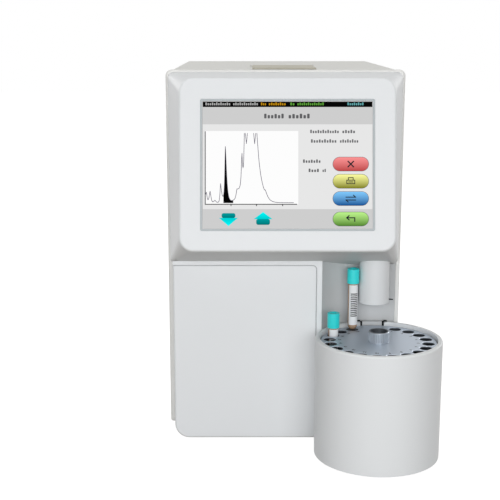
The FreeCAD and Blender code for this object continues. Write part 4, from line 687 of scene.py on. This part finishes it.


# Painted shade: the tray goes dark a little below its top face, in its holes and underneath, and the knob in its
# hollow top and flutes.
tray_shade_depth, knob_hollow, knob_grooves = 0.65 * MM, 12.7 * MM, 13.4 * MM
tray_metal = turned_metal("tray_metal", (0.49, 0.545, 0.62), 0.42, 0.000008, under=tray_top - tray_shade_depth)
knob_metal = turned_metal("knob_metal", (0.42, 0.46, 0.505), 0.36, 0.000006, hollow=knob_hollow, grooved=knob_grooves)
dress(tray_metal, "sample_tray")
dress(knob_metal, "tray_knob")
dress(black_plastic, "tube_rack", "raising_plug")
dress(grey_plastic, "drum_base")
dress(ground_steel, "carousel_spindle", "spindle_bearing")
dress(motor_black, "carousel_motor")


def ink_finish(name, colour):
    """Printed ink: matte and nearly black, a little thinner in places."""
    made, tree = finish(name, 0.6)
    place = tree.node("TexCoord", out="Object")
    shade, _ = tone(tree, place, colour, 0.3, 500.0)
    give(tree, Base_Color=shade)
    return made


black_ink = ink_finish("black_ink", (0.02, 0.02, 0.024))

first_hole, hole_pitch, hole_count = 63.0, 18.0, 18
number_circle, number_size, number_weight, number_lift = 51.6, 5.2, 0.24, 0.03
number_points, number_faces = [], []
for k in range(hole_count):
    text = bpy.data.curves.new("number", "FONT")
    text.body, text.size = str(k + 1), number_size * MM
    text.align_x = text.align_y = "CENTER"
    text.resolution_u, text.offset = 3, number_weight * MM
    holder = bpy.data.objects.new("number", text)
    flat = bpy.data.meshes.new_from_object(holder)
    points = np.empty(3 * len(flat.vertices), np.float32)
    flat.vertices.foreach_get("co", points)
    points = points.reshape(-1, 3)
    angle = math.radians(first_hole - k * hole_pitch)
    outward = np.array([math.cos(angle), math.sin(angle), 0])
    sideways = np.array([math.sin(angle), -math.cos(angle), 0])
    place = np.array([*tray_middle[:2], tray_top + number_lift * MM]) + outward * number_circle * MM
    first = len(number_points)
    number_points += list(place + points[:, :1] * sideways + points[:, 1:2] * outward)
    number_faces += [[i + first for i in p.vertices] for p in flat.polygons]
    bpy.data.objects.remove(holder)
numbers = new_mesh("tray_numbers", number_points, number_faces)
numbers.data.materials.append(black_ink)
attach(numbers, "carousel")


# --- Rim gap shade and sensor window ----------------------------------------
# Black plates in the two gaps beside the block in the drum's rim, and a strip over
# the rim, are painted shade; a dark window closes the sensor's slot in the alcove wall.

def bent_plate(across, radii, foot, top, columns=9):
    """A plate bent about the carousel's axis: a closed skin over a grid of offsets across and heights.

    A point at offset a and radius r lies at (a, sqrt(r * r - a * a)) from the axis, so both faces are arcs.
    """
    offsets = np.linspace(*across, columns)
    offset, height = np.meshgrid(offsets, (foot, top))
    inner, outer = (np.stack([offset, np.sqrt(r * r - offset ** 2), height], -1).reshape(-1, 3) for r in radii)
    loop = [*range(columns), *range(2 * columns - 1, columns - 1, -1)]
    cells = [(i, i + 1, columns + i + 1, columns + i) for i in range(columns - 1)]
    sides = [(a, b, b + 2 * columns, a + 2 * columns) for a, b in zip(loop, loop[1:] + loop[:1])]
    faces = cells + [tuple(i + 2 * columns for i in cell[::-1]) for cell in cells] + [side[::-1] for side in sides]
    return np.vstack([inner, outer]), faces


def joined(name, plates, material):
    """One piece on the cabinet made of bent plates, in millimetres about the carousel's axis."""
    points, faces, first = [], [], 0
    for plate_points, plate_faces in plates:
        points.append(plate_points * MM + [*tray_middle[:2], 0])
        faces += [tuple(i + first for i in face) for face in plate_faces]
        first += len(plate_points)
    made = new_mesh(name, np.vstack(points), faces)
    made.data.materials.append(material)
    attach(made, "root")


# Painted shade: black plates fill the gaps beside the rim block and lie over the rim behind it, where shade falls.
gap_shade_and_window_black, tree = finish("gap_shade_and_window_black", 0.95, Specular_IOR_Level=0.05)
place = tree.node("TexCoord", out="Object")
shade, clouds = tone(tree, place, (0.006, 0.006, 0.007), 0.3, 200.0)
give(tree, Base_Color=shade)
rim_low, rim_high = (np.array(corner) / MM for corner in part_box("rim_block"))
rim_top = rim_high[2]
gap_clearance, gap_outer = 0.05, 16.45
gap_inner = (rim_high[0] - rim_low[0]) / 2 + gap_clearance
gap_shade_radii, gap_shade_depth = (77.9, 82.6), 9.0
over_rim_radii, over_rim_length, over_rim_rise = (81.2, 83.0), 4.5, 1.4
gap_shades = []
for side in (-1, 1):
    gap = sorted((side * gap_inner, side * gap_outer))
    over_rim = sorted((side * gap_outer, side * (gap_outer + over_rim_length)))
    gap_shades += [bent_plate(gap, gap_shade_radii, rim_top - gap_shade_depth, rim_top),
              bent_plate(over_rim, over_rim_radii, rim_top, rim_top + over_rim_rise)]
joined("rim_gap_shade", gap_shades, gap_shade_and_window_black)
window_across, window_height, window_radii = (23.6, 29.0), (193.65, 195.35), (87.2, 87.8)
joined("sensor_window", [bent_plate(window_across, window_radii, *window_height)], gap_shade_and_window_black)


# --- Sample tubes -----------------------------------------------------------
# Two stoppered blood tubes: clear plastic over a tan filling, a teal push-on
# cap with a hollow top, and a paper label with a ladder of printed bars.

tube_tan = (0.42, 0.27, 0.17)
tube_plastic, tree = finish("tube_plastic", 0.18, Coat_Roughness=0.08)
place = tree.node("TexCoord", out="Object")
shade, clouds = tone(tree, place, tube_tan, 0.12, 90.0)
give(tree, Base_Color=shade, Roughness=clouds * 0.08 + 0.14, Coat_Weight=0.6)
cap_teal, tree = finish("cap_teal", 0.35, Coat_Roughness=0.3)
place = tree.node("TexCoord", out="Object")
shade, clouds = tone(tree, place, (0.015, 0.68, 0.69), 0.05, 60.0)
grain = tree.node("TexNoise", Vector=place, Scale=1500.0, Detail=2.0)
give(tree, Base_Color=shade, Roughness=clouds * 0.1 + 0.30, Normal=bump(tree, grain, 0.00003, 0.4))

paper_end = 0.84


def wind_paper(name, label):
    """Fibrous paper, wound round a tube but not closed: the tan tube shows left of paper_end times its radius."""
    made, tree = finish(name, 0.55)
    place = tree.node("TexCoord", out="Object")
    shade, clouds = tone(tree, place, (0.80, 0.81, 0.82), 0.02, 120.0)
    low, high = (corner[0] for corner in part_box(label))
    edge = (low + high) / 2 - paper_end * (high - low) / 2
    bare = tree.math("LESS_THAN", tree.node("SeparateXYZ", out="X", Vector=place), edge)
    fibres = tree.node("TexNoise", Vector=place, Scale=1200.0, Detail=5.0)
    give(tree, Base_Color=bare.mixed(shade, tube_tan), Normal=bump(tree, fibres, 0.00003, 0.4))
    dress(made, label)


dress(tube_plastic, "standing_tube", "raised_tube")
dress(cap_teal, "standing_cap", "raised_cap")
wind_paper("standing_paper", "standing_label")
wind_paper("raised_paper", "raised_label")

bar_lift, bar_from, bar_to, bars_below_top = 0.05, -121.0, -34.0, 11.4
bar_widths = (1.5, 1.3, 1.4, 1.2, 1.5, 1.3, 1.4, 1.3, 1.5, 1.2, 1.4, 1.3, 1.5)
bar_gaps = (1.2, 1.3, 1.1, 1.3, 1.2, 1.2, 1.3, 1.1, 1.3, 1.2, 1.2, 1.3)


def label_bars(name, label):
    """Bars across a label: each is a strip of the label's own cylinder, a hair outside it, between two angles."""
    low, high = (np.array(corner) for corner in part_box(label))
    middle, radius = (low + high) / 2, (high[0] - low[0]) / 2 + bar_lift * MM
    turn = np.radians(np.linspace(bar_from, bar_to, 25))
    columns = np.stack([middle[0] + radius * np.cos(turn), middle[1] + radius * np.sin(turn)], 1)
    steps = np.column_stack([bar_widths, (*bar_gaps, 0)])
    tops = high[2] - MM * (bars_below_top + np.concatenate([[0], np.cumsum(steps.sum(axis=1))[:-1]]))
    edges = np.column_stack([tops - MM * steps[:, 0], tops]).ravel()
    points = np.concatenate([np.insert(columns, 2, z, axis=1) for z in edges])
    index = np.arange(len(points)).reshape(-1, 2, len(columns))
    foot, top = index[:, 0], index[:, 1]
    faces = np.stack([foot[:, :-1], foot[:, 1:], top[:, 1:], top[:, :-1]], -1).reshape(-1, 4)
    made = new_mesh(name, points, faces)
    made.data.materials.append(black_ink)
    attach(made, "carousel")


label_bars("raised_bars", "raised_label")
label_bars("standing_bars", "standing_label")


# --- Printer ----------------------------------------------------------------
# A beige lid in the top, hinged at its rear, over a tub with the paper roll,
# the thermal head and a rubber roller carried by the lid.

lid_plastic = moulded("lid_plastic", (0.485, 0.46, 0.38), 0.6)
roll_paper, tree = finish("roll_paper", 0.6)
low, high = (np.array(corner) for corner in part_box("paper_roll"))
place = tree.node("TexCoord", out="Object")
reach = from_axis(tree, place, (low + high) / 2, across=(0.0, 1.0, 1.0))
layers = tree.node("TexNoise", dict(noise_dimensions="1D"), W=reach, Scale=5000.0, Detail=1.0)
give(tree, Base_Color=layers.mixed((0.74, 0.74, 0.72), (0.84, 0.84, 0.82)), Normal=bump(tree, layers, 0.00004, 0.5))
dress(lid_plastic, "printer_lid")
dress(chassis_paint, "lid_hinge")
dress(grey_plastic, "printer_tub")
dress(black_plastic, "print_head")
dress(black_rubber, "platen_roller")
dress(roll_paper, "paper_roll")


# --- Rear fittings ----------------------------------------------------------
# Fan with its guard, mains inlet, power switch, data sockets and the reagent
# fittings, with the screws that hold them to the rear panel.

dress(black_plastic, "fan_frame", "fan_rotor", "power_inlet", "switch_frame", "power_rocker")
dress(zinc_steel, "fan_guard")
dress(milled_aluminium, "data_ports")
dress(ground_steel, "reagent_fittings")


def screw_head(name, places, radius, rise):
    """Pan heads on the rear panel: a dome over polar rings, with a cross recess pressed into it.

    A ring at share r of the radius stands at rise * sqrt(1 - r ** 3), and falls by the recess where the
    point lies on an arm of the cross.
    """
    shares = np.array([0.0, 0.10, 0.16, 0.20, 0.48, 0.56, 0.72, 0.86, 0.95, 1.0])
    turns = np.radians(np.arange(0, 360, 7.5))
    share, turn = np.meshgrid(shares, turns, indexing="ij")
    across, along = share * np.cos(turn), share * np.sin(turn)
    height = rise * np.sqrt(np.clip(1 - share ** 3, 0, 1))
    on_cross = (np.minimum(np.abs(across), np.abs(along)) < 0.13) & (share < 0.5)
    height = np.where(on_cross, height - 0.55 * rise, height)
    rows, columns = share.shape
    index = np.arange(rows * columns).reshape(rows, columns)
    right = np.roll(index, -1, axis=1)
    faces = np.stack([index[:-1], right[:-1], right[1:], index[1:]], -1).reshape(-1, 4)
    points, all_faces = [], []
    for k, (x, y, z) in enumerate(places):
        points.append(np.stack([x + radius * across, y + height, z + radius * along], -1).reshape(-1, 3))
        all_faces.append(faces + k * rows * columns)
    made = new_mesh(name, np.vstack(points) * MM, np.vstack(all_faces))
    made.data.materials.append(zinc_steel)
    made.data.polygons.foreach_set("use_smooth", np.ones(len(made.data.polygons), bool))
    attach(made, "root")


guard_low, guard_high = (np.array(corner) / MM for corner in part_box("fan_guard"))
guard_x, guard_z = (guard_low + guard_high)[[0, 2]] / 2
guard_eye_inset, panel_edge_inset, screw_rows = 5.0, 6.0, (30.0, 186.0, 342.0, 496.0)
guard_offset = (guard_high[0] - guard_low[0]) / 2 - guard_eye_inset
screw_head("guard_screws", [(guard_x + sx * guard_offset, guard_high[1], guard_z + sz * guard_offset)
                            for sx in (-1, 1) for sz in (-1, 1)], 3.2, 1.8)
panel_low, panel_high = (np.array(corner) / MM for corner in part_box("rear_panel"))
screw_columns = (panel_low[0] + panel_edge_inset, panel_high[0] - panel_edge_inset)
screw_head("panel_screws", [(x, panel_high[1], z) for x in screw_columns for z in screw_rows], 3.0, 1.7)


# --- Electronics ------------------------------------------------------------
# Inside the cabinet: the main board, with a green lacquer over its tracks, and
# the power supply in its plated case, on a shelf of the same sheet.

board_green, tree = finish("board_green", 0.35)
place = tree.node("TexCoord", out="Object")
tracks = tree.node("TexBrick", Vector=place, Scale=60.0, Color1=(0.02, 0.16, 0.07, 1), Color2=(0.03, 0.2, 0.09, 1),
                   Mortar=(0.05, 0.28, 0.13, 1), Mortar_Size=0.04)
give(tree, Base_Color=tracks)
dress(board_green, "main_board")
dress(zinc_steel, "shelf", "power_supply")
